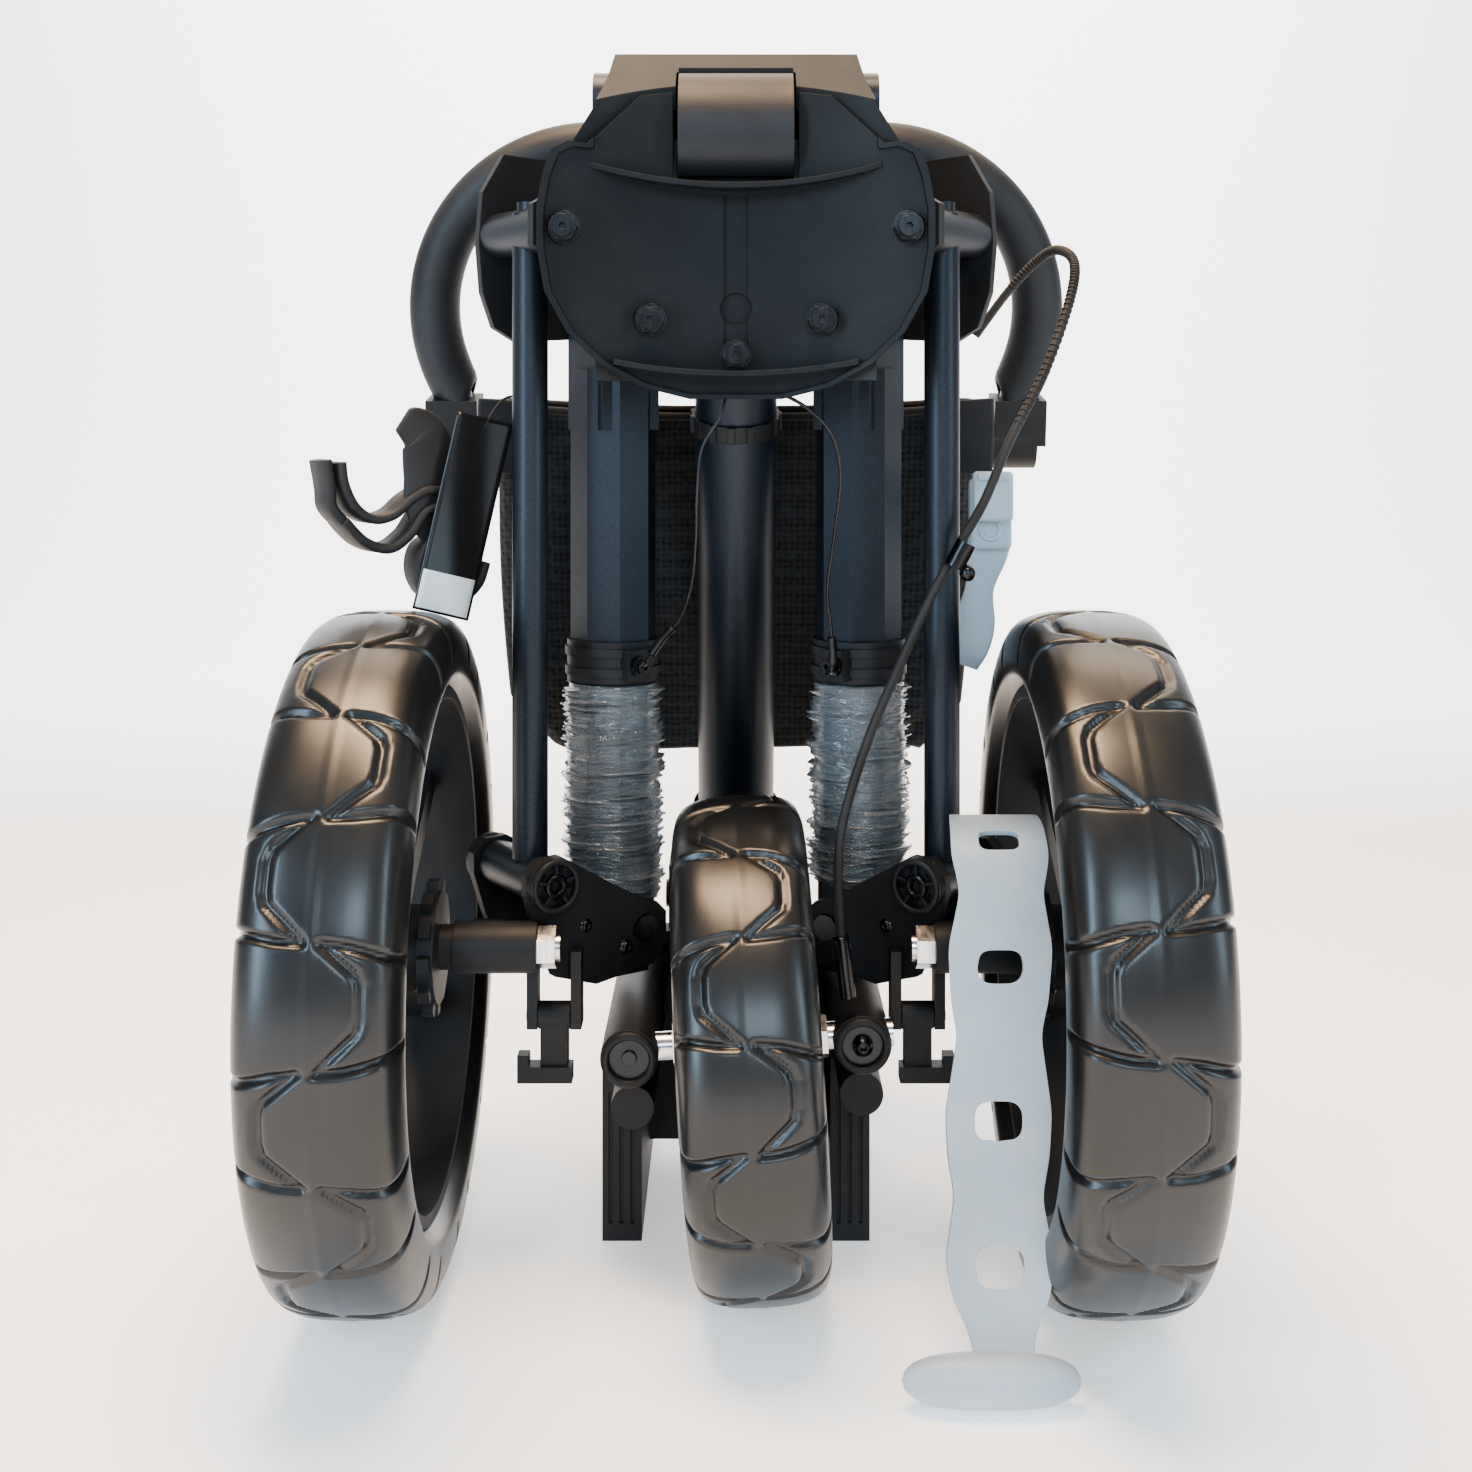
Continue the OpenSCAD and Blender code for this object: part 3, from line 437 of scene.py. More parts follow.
def rounded(name, low, high, radius, material, turn=None, segments=3):
    """A block with rounded edges between two corners, optionally turned about its middle."""
    low, high = Vector(low), Vector(high)
    mid, size = (low + high) / 2, high - low
    bm = bmesh.new()
    bmesh.ops.create_cube(bm, size=1)
    for v in bm.verts:
        v.co = Vector((v.co.x * size.x, v.co.y * size.y, v.co.z * size.z))
    bmesh.ops.bevel(bm, geom=bm.edges[:], offset=radius, segments=segments, affect="EDGES", profile=0.5)
    mesh = bpy.data.meshes.new(name)
    if turn:
        bmesh.ops.transform(bm, matrix=turn, verts=bm.verts)
    bmesh.ops.translate(bm, vec=mid, verts=bm.verts)
    bm.to_mesh(mesh)
    bm.free()
    obj = bpy.data.objects.new(name, mesh)
    bpy.context.scene.collection.objects.link(obj)
    for q in mesh.polygons:
        q.use_smooth = True
    paint(obj, material)
    return obj


def screw(name, centre, axis, radius, body, material, slot_name="dark_steel"):
    """A domed screw head on a washer, with a round socket."""
    r = radius
    profile = [(r * 0.36, -0.8), (r * 0.36, r * 0.18), (r * 0.44, r * 0.62), (r * 0.66, r * 0.6),
               (r * 0.9, r * 0.4), (r * 0.98, r * 0.12), (r * 1.25, r * 0.1), (r * 1.3, 0), (r * 1.3, -0.8)]
    obj = lathe(name, centre, axis, profile, material, 40)
    keep(obj, body, slot_name)
    return obj


# ---------------------------------------------------------------- tyres
def segment_distance(px, py, ax, ay, bx, by):
    dx, dy = bx - ax, by - ay
    t = np.clip(((px - ax) * dx + (py - ay) * dy) / (dx * dx + dy * dy), 0, 1)
    return np.hypot(px - ax - t * dx, py - ay - t * dy)


def groove_depth(s, u, pitch, half_width):
    """Depth of the moulded grooves at arc length s and sideways place u, both in metres."""
    depth = np.zeros_like(s)
    span = pitch * 0.5
    route = [
        (1.05, 0.10), (0.42, 0.015), (0.10, 0.0), (0.30, 0.14), (0.56, 0.30), (0.60, 0.40),
        (0.60, 0.66), (0.54, 0.76), (0.12, 1.0), (0.45, 0.97), (1.05, 0.86),
    ]
    for side, phase in ((1, 0.0), (-1, 0.5)):
        local = np.mod(s / pitch + phase + 0.25, 1.0) * pitch - 0.25 * pitch
        best = np.full_like(s, 1.0)
        for (u0, v0), (u1, v1) in zip(route[:-1], route[1:]):
            best = np.minimum(best, segment_distance(
                side * u, local, u0 * half_width, v0 * span, u1 * half_width, v1 * span))
        wide = 0.0027
        cut = np.clip(1 - best / wide, 0, 1)
        cut = cut * cut * (3 - 2 * cut)
        depth = np.where(side * u > 0.03 * half_width, np.maximum(depth, cut), depth)
    return depth * 0.0026


def tyre_mesh(name, radius, width, rim, motifs, phase, material, around=900, across=76):
    """A solid tyre with a raised middle seam and moulded grooves, on the X axis at the origin."""
    h = width / 2
    profile = [(-h * 0.76, rim), (-h * 0.93, rim + 0.004), (-h, radius - 0.026), (-h * 0.985, radius - 0.015),
               (-h * 0.90, radius - 0.0075), (-h * 0.74, radius - 0.0035), (-h * 0.45, radius - 0.0012),
               (0, radius - 0.0006)]
    profile = profile + [(-x, r) for x, r in profile[-2::-1]]
    line = catmull([(x, r, 0) for x, r in profile], 12)
    length = np.concatenate([[0], np.cumsum([(b - a).length for a, b in zip(line[:-1], line[1:])])])
    want = np.linspace(0, length[-1], across)
    px = np.interp(want, length, [p.x for p in line])
    pr = np.interp(want, length, [p.y for p in line])
    nx, nr = np.gradient(px), np.gradient(pr)
    size = np.hypot(nx, nr)
    normal_x, normal_r = -nr / size, nx / size
    angle = np.linspace(0, 2 * math.pi, around, endpoint=False)
    A, I = np.meshgrid(angle, np.arange(across), indexing="ij")
    u = px[I]
    s = A * radius
    pitch = 2 * math.pi * radius / motifs
    on_tread = np.clip((pr[I] - (radius - 0.024)) / 0.006, 0, 1)
    cut = groove_depth(s + phase * pitch, u, pitch, h) * on_tread
    seam = 0.0007 * np.exp(-((u / 0.0007) ** 2)) * (pr[I] > radius - 0.004)
    lift = seam - cut
    X = u + normal_x[I] * lift
    R = pr[I] + normal_r[I] * lift
    verts = np.stack([X, -R * np.cos(A), R * np.sin(A)], -1).reshape(-1, 3)
    faces = []
    for i in range(around):
        j = (i + 1) % around
        for k in range(across - 1):
            faces.append((i * across + k, i * across + k + 1, j * across + k + 1, j * across + k))
        faces.append((i * across + across - 1, i * across, j * across, j * across + across - 1))
    return new_object(name, verts, faces, material)


def make_tyres():
    for side, body in ((-1, "wheel_left"), (1, "wheel_right")):
        word = body.split("_")[1]
        node = "rear_tyre_" + word
        t = tyre_mesh("tread_" + word, REAR_R, REAR_W, REAR_R - 0.034, 10, 0.03 if side < 0 else -0.02, TYRE)
        if side > 0:
            t.data.transform(Matrix.Scale(-1, 4, (1, 0, 0)))
            t.data.flip_normals()
        t.location = middle(node)
        keep(t, body, "tyre_rubber", node)
    t = tyre_mesh("tread_front", FRONT_R, FRONT_W, FRONT_R - 0.030, 8, 0.1, TYRE, 720, 72)
    t.rotation_euler = (0, -FRONT_CANT, 0)
    t.location = middle("front_tyre")
    keep(t, "front_wheel", "tyre_rubber", "front_tyre")


make_tyres()


# ---------------------------------------------------------------- shipping sleeves
def make_sleeve(side):
    word = "left" if side < 0 else "right"
    node = "shipping_sleeve_" + word
    low, high = box(node)
    centre = (low + high) / 2
    rng = np.random.default_rng(11 if side < 0 else 23)
    around, up = 150, 420
    z_low, z_high = low.z - 0.006, high.z
    ang = np.linspace(0, 2 * math.pi, around, endpoint=False)
    t = np.linspace(0, 1, up)
    A, T = np.meshgrid(ang, t)
    radius = np.full_like(A, 0.0206)
    # crinkles: many short ridges that run round the leg
    for _ in range(420):
        z0, a0 = rng.random(), rng.random() * 2 * math.pi
        tilt = rng.normal(0, 0.012)
        reach = rng.uniform(0.5, 1.6)
        thick = rng.uniform(0.0022, 0.0075)
        high_ = rng.uniform(0.0006, 0.0022)
        da = np.angle(np.exp(1j * (A - a0)))
        ridge = np.exp(-(((T - z0 - tilt * da - 0.006 * np.sin(3 * da + a0)) / thick) ** 2))
        radius += high_ * ridge * np.exp(-((da / reach) ** 2))
    radius = np.minimum(radius, 0.0248)
    # the lower end hangs in a point
    z = z_high + (z_low - z_high) * T
    z -= 0.010 * np.clip((T - 0.9) / 0.1, 0, 1) * (0.5 + 0.5 * np.cos(A - 0.6))
    X = centre.x + radius * np.cos(A)
    Y = centre.y + radius * np.sin(A)
    verts = np.stack([X, Y, z], -1).reshape(-1, 3)
    faces = []
    for i in range(up - 1):
        for k in range(around):
            a, b = i * around + k, i * around + (k + 1) % around
            faces.append((a, a + around, b + around, b))
    film = new_object("film_" + word, verts, faces, FILM)
    thick = film.modifiers.new("thick", "SOLIDIFY")
    thick.thickness = 0.0001
    apply(film)
    keep(film, "leg_" + word, "clear_film", node)


make_sleeve(-1)
make_sleeve(1)


# ---------------------------------------------------------------- grey strap and its pull
def resample(points, count):
    pts = np.array([tuple(p) for p in points])
    run = np.concatenate([[0], np.cumsum(np.linalg.norm(np.diff(pts, axis=0), axis=1))])
    want = np.linspace(0, run[-1], count)
    return np.stack([np.interp(want, run, pts[:, k]) for k in range(3)], -1), run[-1]


STRAP_WIDTH = 0.043


def grey_strap():
    """Lobed silicone strap: folded over the axle housing, hanging forward and down to its pull."""
    side = catmull([(0, 14, 198), (0, 4, 201), (0, -12, 198), (0, -25, 186), (0, -35, 162), (0, -46, 124),
                    (0, -58, 84), (0, -72, 48), (0, -85, 24), (0, -96, 13)], 24)
    count = 320
    rows, length = resample(side, count)
    v = np.linspace(0, 1, count)
    # half width along the strap: wide lobes at the holes, narrow waists between
    lobes = [(0.0, 17.5), (0.06, 19.5), (0.17, 20.5), (0.235, 17.2), (0.33, 21.5), (0.42, 20.0),
             (0.475, 17.0), (0.60, 21.5), (0.67, 20.5), (0.735, 17.5), (0.83, 21.5), (0.89, 19.0),
             (0.945, 12.5), (1.0, 11.0)]
    half = np.interp(v, [a for a, _ in lobes], [b for _, b in lobes])
    soft = np.convolve(np.pad(half, 9, mode="edge"), np.hanning(19) / np.hanning(19).sum(), mode="valid")
    centre = np.interp(v, [0, 0.2, 0.45, 0.75, 1], [112.5, 111.5, 108, 104.5, 103])
    holes = [(0.135, 8.6, 5.0), (0.36, 9.0, 6.4), (0.615, 9.4, 7.2), (0.845, 9.4, 7.2)]
    across = 64
    keep_at = np.ones((count, across), bool)
    grid = np.zeros((count, across, 3))
    for i in range(count):
        xs = np.linspace(-1, 1, across) * soft[i]
        grid[i, :, 0] = centre[i] + xs
        grid[i, :, 1] = rows[i, 1] + 1.6 * (xs / 20) ** 2 * math.sin(6 * v[i])
        grid[i, :, 2] = rows[i, 2]
        for h, rx, ry in holes:
            dy = (v[i] - h) * length
            keep_at[i] &= (np.abs(xs / rx) ** 3.2 + abs(dy / ry) ** 3.2) > 1
    bm = bmesh.new()
    vs = [[bm.verts.new(at(*grid[i, k])) for k in range(across)] for i in range(count)]
    for i in range(count - 1):
        for k in range(across - 1):
            if keep_at[i, k] and keep_at[i + 1, k] and keep_at[i, k + 1] and keep_at[i + 1, k + 1]:
                bm.faces.new((vs[i][k], vs[i + 1][k], vs[i + 1][k + 1], vs[i][k + 1]))
    bmesh.ops.delete(bm, geom=[q for q in bm.verts if not q.link_faces], context="VERTS")
    # smooth the stepped hole edges
    for _ in range(14):
        edge = [q for q in bm.verts if q.is_boundary]
        moved = {}
        for q in edge:
            near = [e.other_vert(q).co for e in q.link_edges if e.is_boundary]
            if len(near) == 2:
                moved[q] = q.co.lerp((near[0] + near[1]) / 2, 0.5)
        for q, co in moved.items():
            q.co = co
    mesh = bpy.data.meshes.new("strap_band")
    bm.to_mesh(mesh)
    bm.free()
    obj = bpy.data.objects.new("strap_band", mesh)
    bpy.context.scene.collection.objects.link(obj)
    for q in mesh.polygons:
        q.use_smooth = True
    paint(obj, GREY_SILICONE)
    solid = obj.modifiers.new("thick", "SOLIDIFY")
    solid.thickness = 0.0026
    solid.offset = 0
    round_ = obj.modifiers.new("round", "BEVEL")
    round_.width = 0.0006
    round_.segments = 2
    round_.limit_method = "ANGLE"
    apply(obj)
    for q in obj.data.polygons:
        q.use_smooth = True
    keep(obj, "carrier_right", "grey_silicone", "strap_grey")
    return obj, length / 1000, STRAP_WIDTH


def strap_pull():
    """The rounded cross piece at the strap's end: a flattened, blunt spindle."""
    verts, faces = [], []
    n, m = 60, 40
    for i in range(n + 1):
        t = -1 + 2 * i / n
        r = (1 - abs(t) ** 2.6) ** 0.5
        bulge = 1 - 0.10 * (1 - t * t)
        for k in range(m):
            a = 2 * math.pi * k / m
            verts.append(at(97 + 34.2 * t, -101 + 10.2 * r * bulge * math.cos(a),
                            11.3 + 11.2 * r * bulge * math.sin(a)))
    for i in range(n):
        for k in range(m):
            a, b = i * m + k, i * m + (k + 1) % m
            faces.append((a, b, b + m, a + m))
    obj = tidy(new_object("strap_pull", verts, faces, GREY_SILICONE), 1e-6)
    return keep(obj, "carrier_right", "grey_silicone")


band, strap_length, strap_width = grey_strap()
strap_pull()


# ---------------------------------------------------------------- black rubber strap, tag, pouch
def behind(x, z, v, depth=19):
    """Moves a place seen at a depth along its sight line to the plane v behind the left rod."""
    c, s_ = math.cos(LINK_YAW), math.sin(LINK_YAW)
    k = x / (depth - CAMERA_Y)
    u = (k * (v * c - CAMERA_Y) + v * s_) / (c - k * s_)
    y = u * s_ + v * c
    return at(u * c - v * s_, y, CAMERA_Z + (z - CAMERA_Z) * (y - CAMERA_Y) / (depth - CAMERA_Y))


def ribbon(name, path, half, thick, material, across_dir):
    """A flat band along path; half(t) is its half width along across_dir(t)."""
    verts, faces = [], []
    pts = [Vector(p) for p in path]
    n = len(pts)
    for i, p in enumerate(pts):
        t = i / (n - 1)
        tangent = (pts[min(i + 1, n - 1)] - pts[max(i - 1, 0)]).normalized()
        side = Vector(across_dir(t)).normalized()
        side = (side - tangent * side.dot(tangent)).normalized()
        out = tangent.cross(side)
        w = half(t)
        for a, b in ((-1, -1), (-0.86, -1.0), (0.86, -1.0), (1, -1), (1, 1), (0.86, 1), (-0.86, 1), (-1, 1)):
            edge = 0.55 if abs(a) == 1 else 1.0
            verts.append(p + side * (a * w) + out * (b * thick / 2 * edge))
    for i in range(n - 1):
        for k in range(8):
            a, b = i * 8 + k, i * 8 + (k + 1) % 8
            faces.append((a, a + 8, b + 8, b))
    faces.append(tuple(range(8)))
    faces.append(tuple(range((n - 1) * 8 + 7, (n - 1) * 8 - 1, -1)))
    return tidy(new_object(name, verts, faces, material))


def black_strap():
    """Curled rubber strap: hook-like free end, two round eyes, then a wider flap going behind the rod."""
    v = 116.5
    outward = (-math.sin(LINK_YAW), math.cos(LINK_YAW), 0)

    def line(*places):
        return catmull([behind(x, z, v) for x, z in places], 14)

    upper = line((-178.5, 356), (-177, 346), (-172, 336), (-164, 331), (-155, 333), (-147, 340), (-139, 344),
                 (-131, 341), (-128, 332), (-133, 324), (-141, 318), (-143, 308), (-139, 299), (-131, 295),
                 (-123, 297), (-117, 303), (-114, 312))
    lower = line((-177, 330), (-168, 321), (-157, 318), (-148, 324), (-141, 334), (-132, 337))
    eye = line((-124, 322), (-130, 318), (-134, 310), (-131, 302))
    tip = line((-185, 357), (-183, 345), (-182, 336), (-176, 329))
    made = []
    for name, path, w, t in (("curl_upper", upper, 0.0095, 0.0042), ("curl_lower", lower, 0.0095, 0.0044),
                             ("curl_eye", eye, 0.0090, 0.0040), ("curl_tip", tip, 0.0088, 0.0046)):
        made.append(ribbon(name, path, lambda s, w=w: w * (1 - 0.15 * s), t, BLACK_RUBBER, lambda s: outward))
    flap = catmull([behind(x, z, 109 + k) for k, (x, z) in enumerate(
        ((-148, 375), (-139, 368), (-136, 352), (-137, 334), (-130, 318), (-121, 306)))], 14)
    made.append(ribbon("curl_flap", flap, lambda s: 0.006 + 0.007 * math.sin(math.pi * min(1, s * 1.3)),
                       0.003, BLACK_RUBBER, lambda s: (math.cos(LINK_YAW), math.sin(LINK_YAW), 0.1)))
    keep(made[0], "mast", "black_rubber", "strap_black")
    for m in made[1:]:
        keep(m, "mast", "black_rubber")


def tag():
    """Blank hanging tag with a pale blank sticker near its foot, and its string loop."""
    def sheet_at(name, x0, x1, z0, z1, y, thick, material, bend=0.004):
        nx, nz = 10, 40
        verts, faces = [], []
        turn = math.radians(13)
        for off in (-thick / 2, thick / 2):
            for i in range(nz + 1):
                for k in range(nx + 1):
                    x = x0 + (x1 - x0) * k / nx
                    z = z0 + (z1 - z0) * i / nz
                    v = y + off * 1000 + bend * 600 * math.sin((z + 44) / 88 * math.pi)
                    verts.append(behind(-119 + x * math.cos(turn) + z * math.sin(turn),
                                        333 - x * math.sin(turn) + z * math.cos(turn), v, 2))
        side = (nx + 1) * (nz + 1)
        for i in range(nz):
            for k in range(nx):
                a = i * (nx + 1) + k
                faces.append((a, a + 1, a + nx + 2, a + nx + 1))
                faces.append((side + a, side + a + nx + 1, side + a + nx + 2, side + a + 1))
        rim = ([k for k in range(nx + 1)] + [i * (nx + 1) + nx for i in range(1, nz + 1)]
               + [nz * (nx + 1) + k for k in range(nx - 1, -1, -1)]
               + [i * (nx + 1) for i in range(nz - 1, 0, -1)])
        for i, a in enumerate(rim):
            b = rim[(i + 1) % len(rim)]
            faces.append((b, a, a + side, b + side))
        return new_object(name, verts, faces, material)

    card = sheet_at("tag_front", -12.5, 12.5, -44, 44, 102.6, 0.0006, CARD)
    sticker = sheet_at("tag_sticker", -11.5, 11.5, -43, -26, 102.15, 0.0002, LABEL)
    top = behind(-109.5, 372, 103, 2)
    steps = ((0, 0, 0), (0.003, 0.002, 0.006), (0.007, 0.007, 0.012), (0.011, 0.015, 0.014),
             (0.014, 0.022, 0.012))
    string, line = cord_piece("tag_string", [top + Vector(d) for d in steps], 0.0006, BLACK_RUBBER, 8, 8)
    keep(card, "mast", "tag_card", "swing_tag")
    keep(sticker, "mast", "tag_card")
    keep(string, "mast", "black_rubber")


def mast_place(x, y, z):
    """A place in the tilted frame of the folded mast."""
    c, s_ = math.cos(ARM_TILT), math.sin(ARM_TILT)
    return at(x, 104 + c * y - s_ * z, 458 + s_ * y + c * z)


def pouch():
    """Netting pouch hung on the mast: shallow, sagging, open at the top between two webbing tabs."""
    nu, nv = 150, 120
    rng = np.random.default_rng(5)
    verts, faces = [], []
    U = np.linspace(0, 2 * math.pi, nu, endpoint=False)
    for j in range(nv + 1):
        v = j / nv
        sag = 1 - 0.10 * (2 * v - 1) ** 2
        for u in U:
            cx = abs(math.cos(u)) ** 0.35 * math.copysign(1, math.cos(u))
            sy = abs(math.sin(u)) ** 0.9 * math.copysign(1, math.sin(u))
            width = 119 * (0.97 + 0.03 * math.sin(math.pi * v)) * (1 - 0.16 * max(0, v - 0.86) / 0.14)
            depth = (4 + 7 * math.sin(math.pi * min(1, v * 0.9 + 0.08))) * sag
            fold = 0.9 * math.sin(9 * u + 5 * v) + 0.7 * math.sin(17 * u - 8 * v)
            dip = 6 * (1 - cx * cx) * (1 - v) ** 4
            x = width * cx
            y = -23 + (depth + 0.35 * fold) * sy
            z = -72 - 190 * v - dip - 2.5 * math.cos(3 * u) * v
            verts.append(mast_place(x, y, z))
    for j in range(nv):
        for k in range(nu):
            a, b = j * nu + k, j * nu + (k + 1) % nu
            faces.append((a, b, b + nu, a + nu))
    faces.append(tuple(nv * nu + k for k in range(nu)))
    net = new_object("pouch_net", verts, faces, MESH)
    solid = net.modifiers.new("thick", "SOLIDIFY")
    solid.thickness = 0.0008
    apply(net)
    keep(net, "mast", "mesh_fabric", "pouch")
    edge = []
    for k in range(nu + 1):
        p = Vector(verts[k % nu])
        edge.append(p)
    hem = tube("pouch_hem", edge, 0.0022, WEBBING, 8)
    keep(hem, "mast", "mesh_fabric")
    for sx in (-1, 1):
        path = catmull([mast_place(sx * 112, -35.5, -66), mast_place(sx * 113, -36.5, -84),
                        mast_place(sx * 113, -36, -104)], 10)
        t = ribbon("pouch_tab_" + ("left" if sx < 0 else "right"), path, lambda s: 0.013, 0.0022, WEBBING,
                   lambda s: (1, 0, 0))
        keep(t, "mast", "mesh_fabric")


black_strap()
tag()
pouch()


# ---------------------------------------------------------------- cables
def ferrule(name, line, t0, t1, radius, material):
    """A short sleeve along part of a line."""
    n = len(line) - 1
    pts = line[int(t0 * n): max(int(t0 * n) + 3, int(t1 * n) + 1)]
    return tube(name, pts, radius, material, 16)


def brake_cable():
    pts = [at(*q) for q in ((48, -12, 128), (44, -16, 165), (45, -14, 200), (56, -8, 235), (68, -2, 262),
                            (84, 2, 296), (98, 8, 320), (110, 15, 339), (123, 25, 366), (141, 40, 397),
                            (155, 55, 430), (159, 65, 448), (154, 75, 455), (146, 82, 452), (132, 88, 437),
                            (116, 92, 415))]
    cable, line = cord_piece("cable_cover", pts, 0.0021, BLACK_RUBBER, 24, 14)
    keep(cable, "rod_right", "black_plastic", "brake_cable")
    # ribs on the upper run
    n = len(line)
    ribs = []
    for i in range(int(n * 0.55), int(n * 0.93), 2):
        d = (line[i + 1] - line[i]).normalized() * 0.0005
        ribs.append((line[i] - d, line[i] + d))
    verts, faces = [], []
    for p, q in ribs:
        t = (q - p).normalized()
        u = t.orthogonal().normalized()
        w = t.cross(u)
        base = len(verts)
        for c, r in ((p, 0.0019), (p, 0.00245), (q, 0.00245), (q, 0.0019)):
            for k in range(12):
                a = 2 * math.pi * k / 12
                verts.append(c + r * (math.cos(a) * u + math.sin(a) * w))
        for ring_ in range(3):
            for k in range(12):
                a, b = base + ring_ * 12 + k, base + ring_ * 12 + (k + 1) % 12
                faces.append((a, a + 12, b + 12, b))
        for k in range(12):
            a, b = base + 36 + k, base + 36 + (k + 1) % 12
            faces.append((a, base + k, base + (k + 1) % 12, b))
    keep(new_object("cable_ribs", verts, faces, BLACK_RUBBER), "rod_right", "black_plastic")
    keep(ferrule("cable_foot", line, 0.0, 0.05, 0.0034, DARK_STEEL), "rod_right", "dark_steel")


def lanyard(side):
    word = "left" if side < 0 else "right"
    if side < 0:
        pts = [(-41, 28, 265), (-33, 24, 277), (-24.5, 19, 287.5), (-19.5, 14, 303), (-17.6, 10, 322),
               (-17, 6, 342), (-15, 4, 362), (-7, 2, 376), (-4, 3, 388)]
    else:
        pts = [(43, 28, 261), (43.5, 27, 271), (42.5, 26, 283), (41, 22, 300), (44, 16, 326), (46, 10, 350),
               (42, 4, 368), (31, 0, 380), (18.7, -1, 387)]
    wire, line = cord_piece("wire_" + word, [at(*q) for q in pts], 0.0008, DARK_STEEL, 16, 10)
    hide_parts("lanyard_" + word)
    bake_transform(wire)
    keep(ferrule("wire_crimp_" + word, line, 0.06, 0.2, 0.0019, DARK_STEEL), "leg_" + word, "dark_steel")
    # flat eye held by the collar bolt
    eye = ribbon("wire_eye_" + word, [line[0] + (line[0] - line[3]) * k for k in (0.9, 0.45, 0, -0.6)],
                 lambda t: 0.0034 * (1 - 0.5 * t), 0.0014, DARK_STEEL, lambda t: (0.6, -0.35 * side, 0.4))
    keep(eye, "leg_" + word, "dark_steel")


brake_cable()
lanyard(-1)
lanyard(1)


# ---------------------------------------------------------------- grip with slanted ends
def grip():
    """Thicker sleeve over the top of the loop, its ends cut on a slant."""
    tilt = math.radians(10)
    top, radius = 73.0, 85.0
    line = []
    for k in range(0, 41):
        a = math.radians(-36 + 126 * k / 40)
        line.append((-top - radius * math.cos(a), radius * math.sin(a)))
    line += [(x, radius) for x in np.linspace(-top + 4, top - 4, 30)]
    for k in range(0, 41):
        a = math.radians(90 - 126 * k / 40)
        line.append((top + radius * math.cos(a), radius * math.sin(a)))
    pts = [at(x, 178 - math.sin(tilt) * (z + 70), 362 + math.cos(tilt) * (z + 70)) for x, z in line]
    pts = [Vector(q) for q in resample(pts, 260)[0]]
    n, sides = len(pts), 40
    verts, faces = [], []
    side = Vector((0, math.cos(tilt), math.sin(tilt)))
    for layer in range(2):
        for i, p in enumerate(pts):
            t = (pts[min(i + 1, n - 1)] - pts[max(i - 1, 0)]).normalized()
            out = side.cross(t).normalized()
            for k in range(sides):
                a = 2 * math.pi * k / sides
                r = (0.0131 if layer == 0 else 0.01008)
                if layer == 0:
                    r -= 0.0011 * max(0, 1 - min(i, n - 1 - i) / 3) ** 2
                q = p + r * (math.cos(a) * side + math.sin(a) * out)
                slant = 0.009 * math.sin(a) * max(0, 1 - min(i, n - 1 - i) / 14)
                q = q + t * (slant if i < n / 2 else -slant)
                verts.append(q)
    half = n * sides
    for i in range(n - 1):
        for k in range(sides):
            a, b = i * sides + k, i * sides + (k + 1) % sides
            faces.append((a, b, b + sides, a + sides))
            faces.append((half + a, half + a + sides, half + b + sides, half + b))
    for k in range(sides):
        b = (k + 1) % sides
        faces.append((k, half + k, half + b, b))
        e = (n - 1) * sides
        faces.append((e + k, e + b, half + e + b, half + e + k))
    g = new_object("grip_sleeve", verts, faces, GRIP)
    keep(g, "handle", "black_rubber", "handle_grip")


grip()


# ---------------------------------------------------------------- spoked bosses on the carriers
def boss(side):
    """Round boss at the rod's foot: a rim, five radial ribs, and the bolt's socket head."""
    word = "left" if side < 0 else "right"
    yaw = LINK_YAW * (1 if side < 0 else -1)
    axis = Vector((math.sin(yaw), -math.cos(yaw), 0))
    across = Vector((math.cos(yaw), math.sin(yaw), 0))
    u, v = -61.7, 50.5
    x = u * math.cos(LINK_YAW) - v * math.sin(LINK_YAW)
    y = u * math.sin(LINK_YAW) + v * math.cos(LINK_YAW)
    centre = at(x if side < 0 else -x, y, 171)
    up = Vector((0, 0, 1))

    rim_profile = [(9.4, 0.3), (9.4, 2.6), (9.9, 3.1), (11.3, 3.1), (11.9, 2.5), (11.9, 0.3)]
    eye_profile = [(2.6, 0.3), (2.6, 2.4), (3.0, 2.9), (4.8, 2.9), (5.3, 2.4), (5.3, 0.3)]
    rim = lathe("boss_rim_" + word, centre, axis, rim_profile, BLACK, 64)
    eye = lathe("boss_eye_" + word, centre, axis, eye_profile, DARK_STEEL)
    keep(rim, "carrier_" + word, "black_plastic")
    keep(eye, "carrier_" + word, "dark_steel")
    verts, faces = [], []
    for k in range(5):
        a = math.radians(90 + 72 * k)
        d = math.cos(a) * across + math.sin(a) * up
        w = -math.sin(a) * across + math.cos(a) * up
        base = len(verts)
        for r in (0.0052, 0.0096):
            for s_, h in ((-1, 0.3), (1, 0.3), (0.7, 2.3), (-0.7, 2.3)):
                verts.append(centre + d * r + w * (0.0009 * s_) + axis * (h / 1000))
        for q in ((0, 1, 5, 4), (1, 2, 6, 5), (2, 3, 7, 6), (3, 0, 4, 7), (3, 2, 1, 0), (4, 5, 6, 7)):
            faces.append(tuple(base + j for j in q))
    keep(new_object("boss_ribs_" + word, verts, faces, BLACK, False), "carrier_" + word, "black_plastic")


boss(-1)
boss(1)


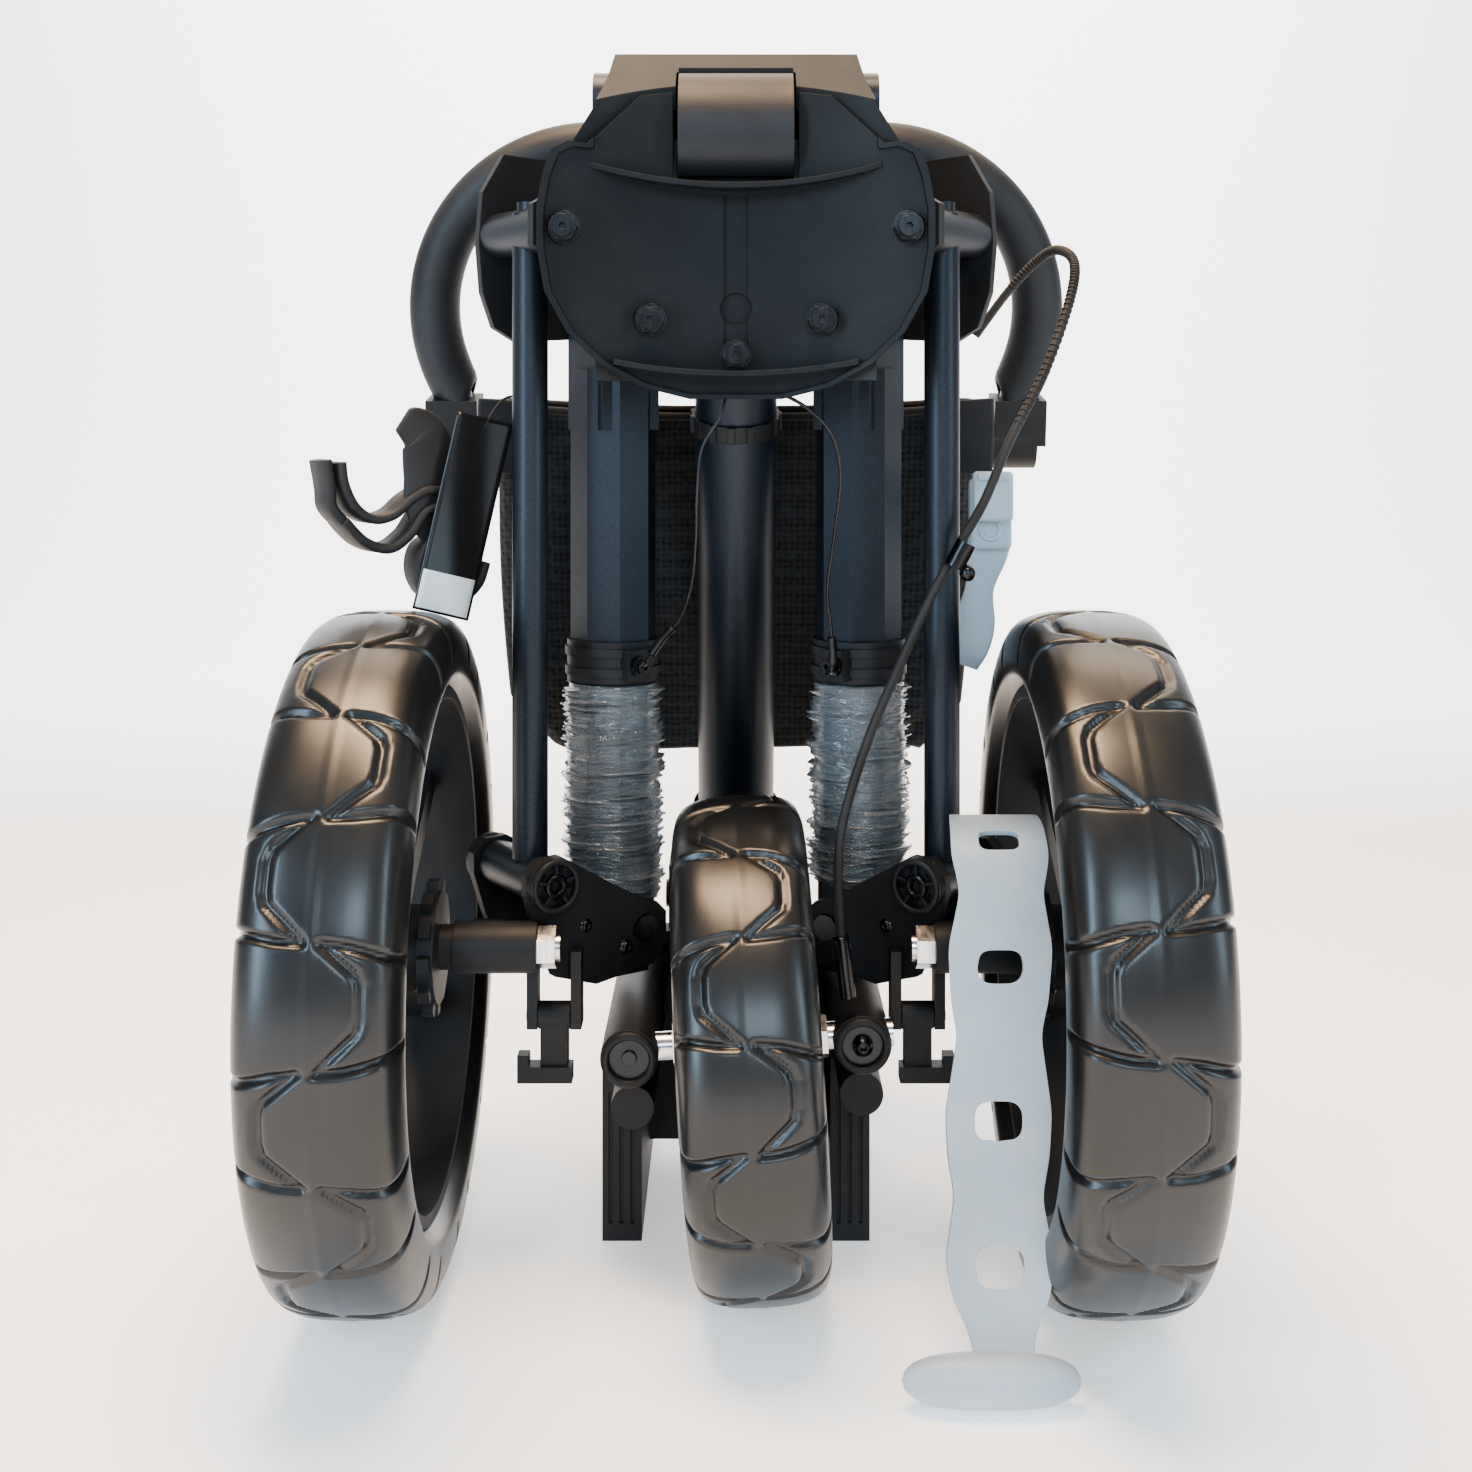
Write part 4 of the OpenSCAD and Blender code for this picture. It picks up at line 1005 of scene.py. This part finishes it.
# ---------------------------------------------------------------- fork ends, screws, buckle
def fork_ends():
    for word, x in (("left", -52), ("right", 48)):
        c = at(x * math.cos(FRONT_CANT) + 6.2, -14.2, 104.9 + x * math.sin(FRONT_CANT))
        profile = [(8.6, -1), (8.6, 0.8), (9.4, 1.5), (11.0, 1.5), (12.0, 0.6), (12.2, -1)]
        ring = lathe("fork_ring_" + word, c, (0, -1, 0), profile, BLACK, 64)
        keep(ring, "fork", "black_plastic")
    screw("fork_screw", at(54.2, -14.6, 107.8), (0, -1, 0), 3.4, "fork", DARK_STEEL)


def carrier_screws():
    for side in (-1, 1):
        word = "left" if side < 0 else "right"
        for k, (u, v, z, r) in enumerate(((-23, 53.4, 137, 2.6), (-44, 53.4, 150, 2.3))):
            x = u * math.cos(LINK_YAW) - v * math.sin(LINK_YAW)
            y = u * math.sin(LINK_YAW) + v * math.cos(LINK_YAW)
            axis = (math.sin(LINK_YAW) * -side, -math.cos(LINK_YAW), 0)
            screw(f"cheek_screw_{word}_{k}", at(x * -side, y, z), axis, r,
                  "carrier_" + word, DARK_STEEL)


def buckle():
    body = rounded("buckle_block", at(112, 78.5, 312), at(132, 90, 346), 0.0026, GREY_PLASTIC)
    keep(body, "mast", "grey_plastic", "buckle_body")
    profile = [(3.4, -1.5), (3.4, 0.2), (4.0, 1.0), (5.2, 1.0), (6.0, 0.2), (6.0, -1.5)]
    ring = lathe("buckle_eye", at(121.5, 78.7, 322), (0, -1, 0), profile, GREY_PLASTIC)
    keep(ring, "mast", "grey_plastic")
    lever = rounded("buckle_flap", at(112.4, 71, 326), at(131.6, 76.6, 350), 0.0022, GREY_PLASTIC)
    keep(lever, "buckle", "grey_plastic", "buckle_lever")
    lip = rounded("buckle_lip", at(114, 69.4, 345.5), at(130, 73, 349.5), 0.0012, GREY_PLASTIC)
    keep(lip, "buckle", "grey_plastic")
    path = catmull([at(122, 84, 318), at(120, 85, 306), at(117, 86, 292), at(115, 86.5, 278),
                    at(112, 87, 262), at(110, 88, 256)], 14)
    tail = ribbon("buckle_strap", path, lambda t: 0.0085 + 0.0016 * math.sin(11 * t + 0.6), 0.0024,
                  GREY_SILICONE, lambda t: (1, 0, 0))
    keep(tail, "mast", "grey_silicone")


fork_ends()
carrier_screws()
buckle()


# ---------------------------------------------------------------- stage, light, camera
def make_stage():
    size = 6.0
    verts, faces = [], []
    rows = [(-size, 0.0), (1.6, 0.0)]
    for k in range(1, 13):
        a = k / 12 * math.pi / 2
        rows.append((1.6 + 1.2 * math.sin(a), 1.2 * (1 - math.cos(a))))
    rows.append((2.8, 5.0))
    for y, z in rows:
        verts += [(-size, y, z), (size, y, z)]
    for i in range(len(rows) - 1):
        faces.append((2 * i, 2 * i + 1, 2 * i + 3, 2 * i + 2))
    m, t, s = node_material("floor", Roughness=0.9, Specular_IOR_Level=0.0, Emission_Strength=0.5)
    s.inputs["Base Color"].default_value = (0.95, 0.95, 0.955, 1)
    s.inputs["Emission Color"].default_value = (1, 1, 1, 1)
    floor = new_object("floor", verts, faces, m)
    floor.location.z = -0.0002


def area_light(name, place, target, size, power, colour):
    data = bpy.data.lights.new(name, "AREA")
    data.shape = "RECTANGLE"
    data.size, data.size_y = size
    data.energy = power
    data.color = colour
    obj = bpy.data.objects.new(name, data)
    bpy.context.scene.collection.objects.link(obj)
    obj.location = place
    obj.rotation_euler = (Vector(target) - Vector(place)).to_track_quat("-Z", "Y").to_euler()
    return obj


def make_light():
    world = bpy.data.worlds.new("soft")
    bpy.context.scene.world = world
    world.use_nodes = True
    world.node_tree.nodes["Background"].inputs["Color"].default_value = (0.93, 0.965, 1.0, 1)
    world.node_tree.nodes["Background"].inputs["Strength"].default_value = 0.34
    area_light("warm_top", (-0.15, -0.15, 1.5), (0, 0, 0.25), (0.9, 0.5), 30, (1.0, 0.70, 0.44))
    area_light("warm_back", (0.2, 0.7, 1.5), (0, 0, 0.4), (1.4, 0.5), 11, (1.0, 0.76, 0.52))
    area_light("cool_left", (-1.25, -1.35, 0.75), (0, 0, 0.25), (0.35, 1.3), 20, (0.58, 0.80, 1.0))
    area_light("cool_front", (0.15, -1.9, 1.05), (0, 0, 0.3), (0.7, 0.5), 11, (0.66, 0.85, 1.0))
    area_light("cool_right", (1.5, -1.0, 0.8), (0, 0, 0.25), (0.3, 1.2), 9, (0.66, 0.86, 1.0))
    area_light("back_wall", (0, 1.5, 1.6), (0, 2.8, 1.0), (3.0, 2.0), 75, (1.0, 1.0, 1.0))
    bpy.context.scene.view_settings.look = "AgX - Medium High Contrast"


def make_camera():
    data = bpy.data.cameras.new("camera")
    data.sensor_width = 36
    data.lens = 44.8
    data.shift_y = -0.2249
    cam = bpy.data.objects.new("camera", data)
    bpy.context.scene.collection.objects.link(cam)
    cam.location = at(0, CAMERA_Y, CAMERA_Z)
    cam.rotation_euler = (math.pi / 2, 0, 0)
    bpy.context.scene.camera = cam


make_stage()
make_light()
make_camera()
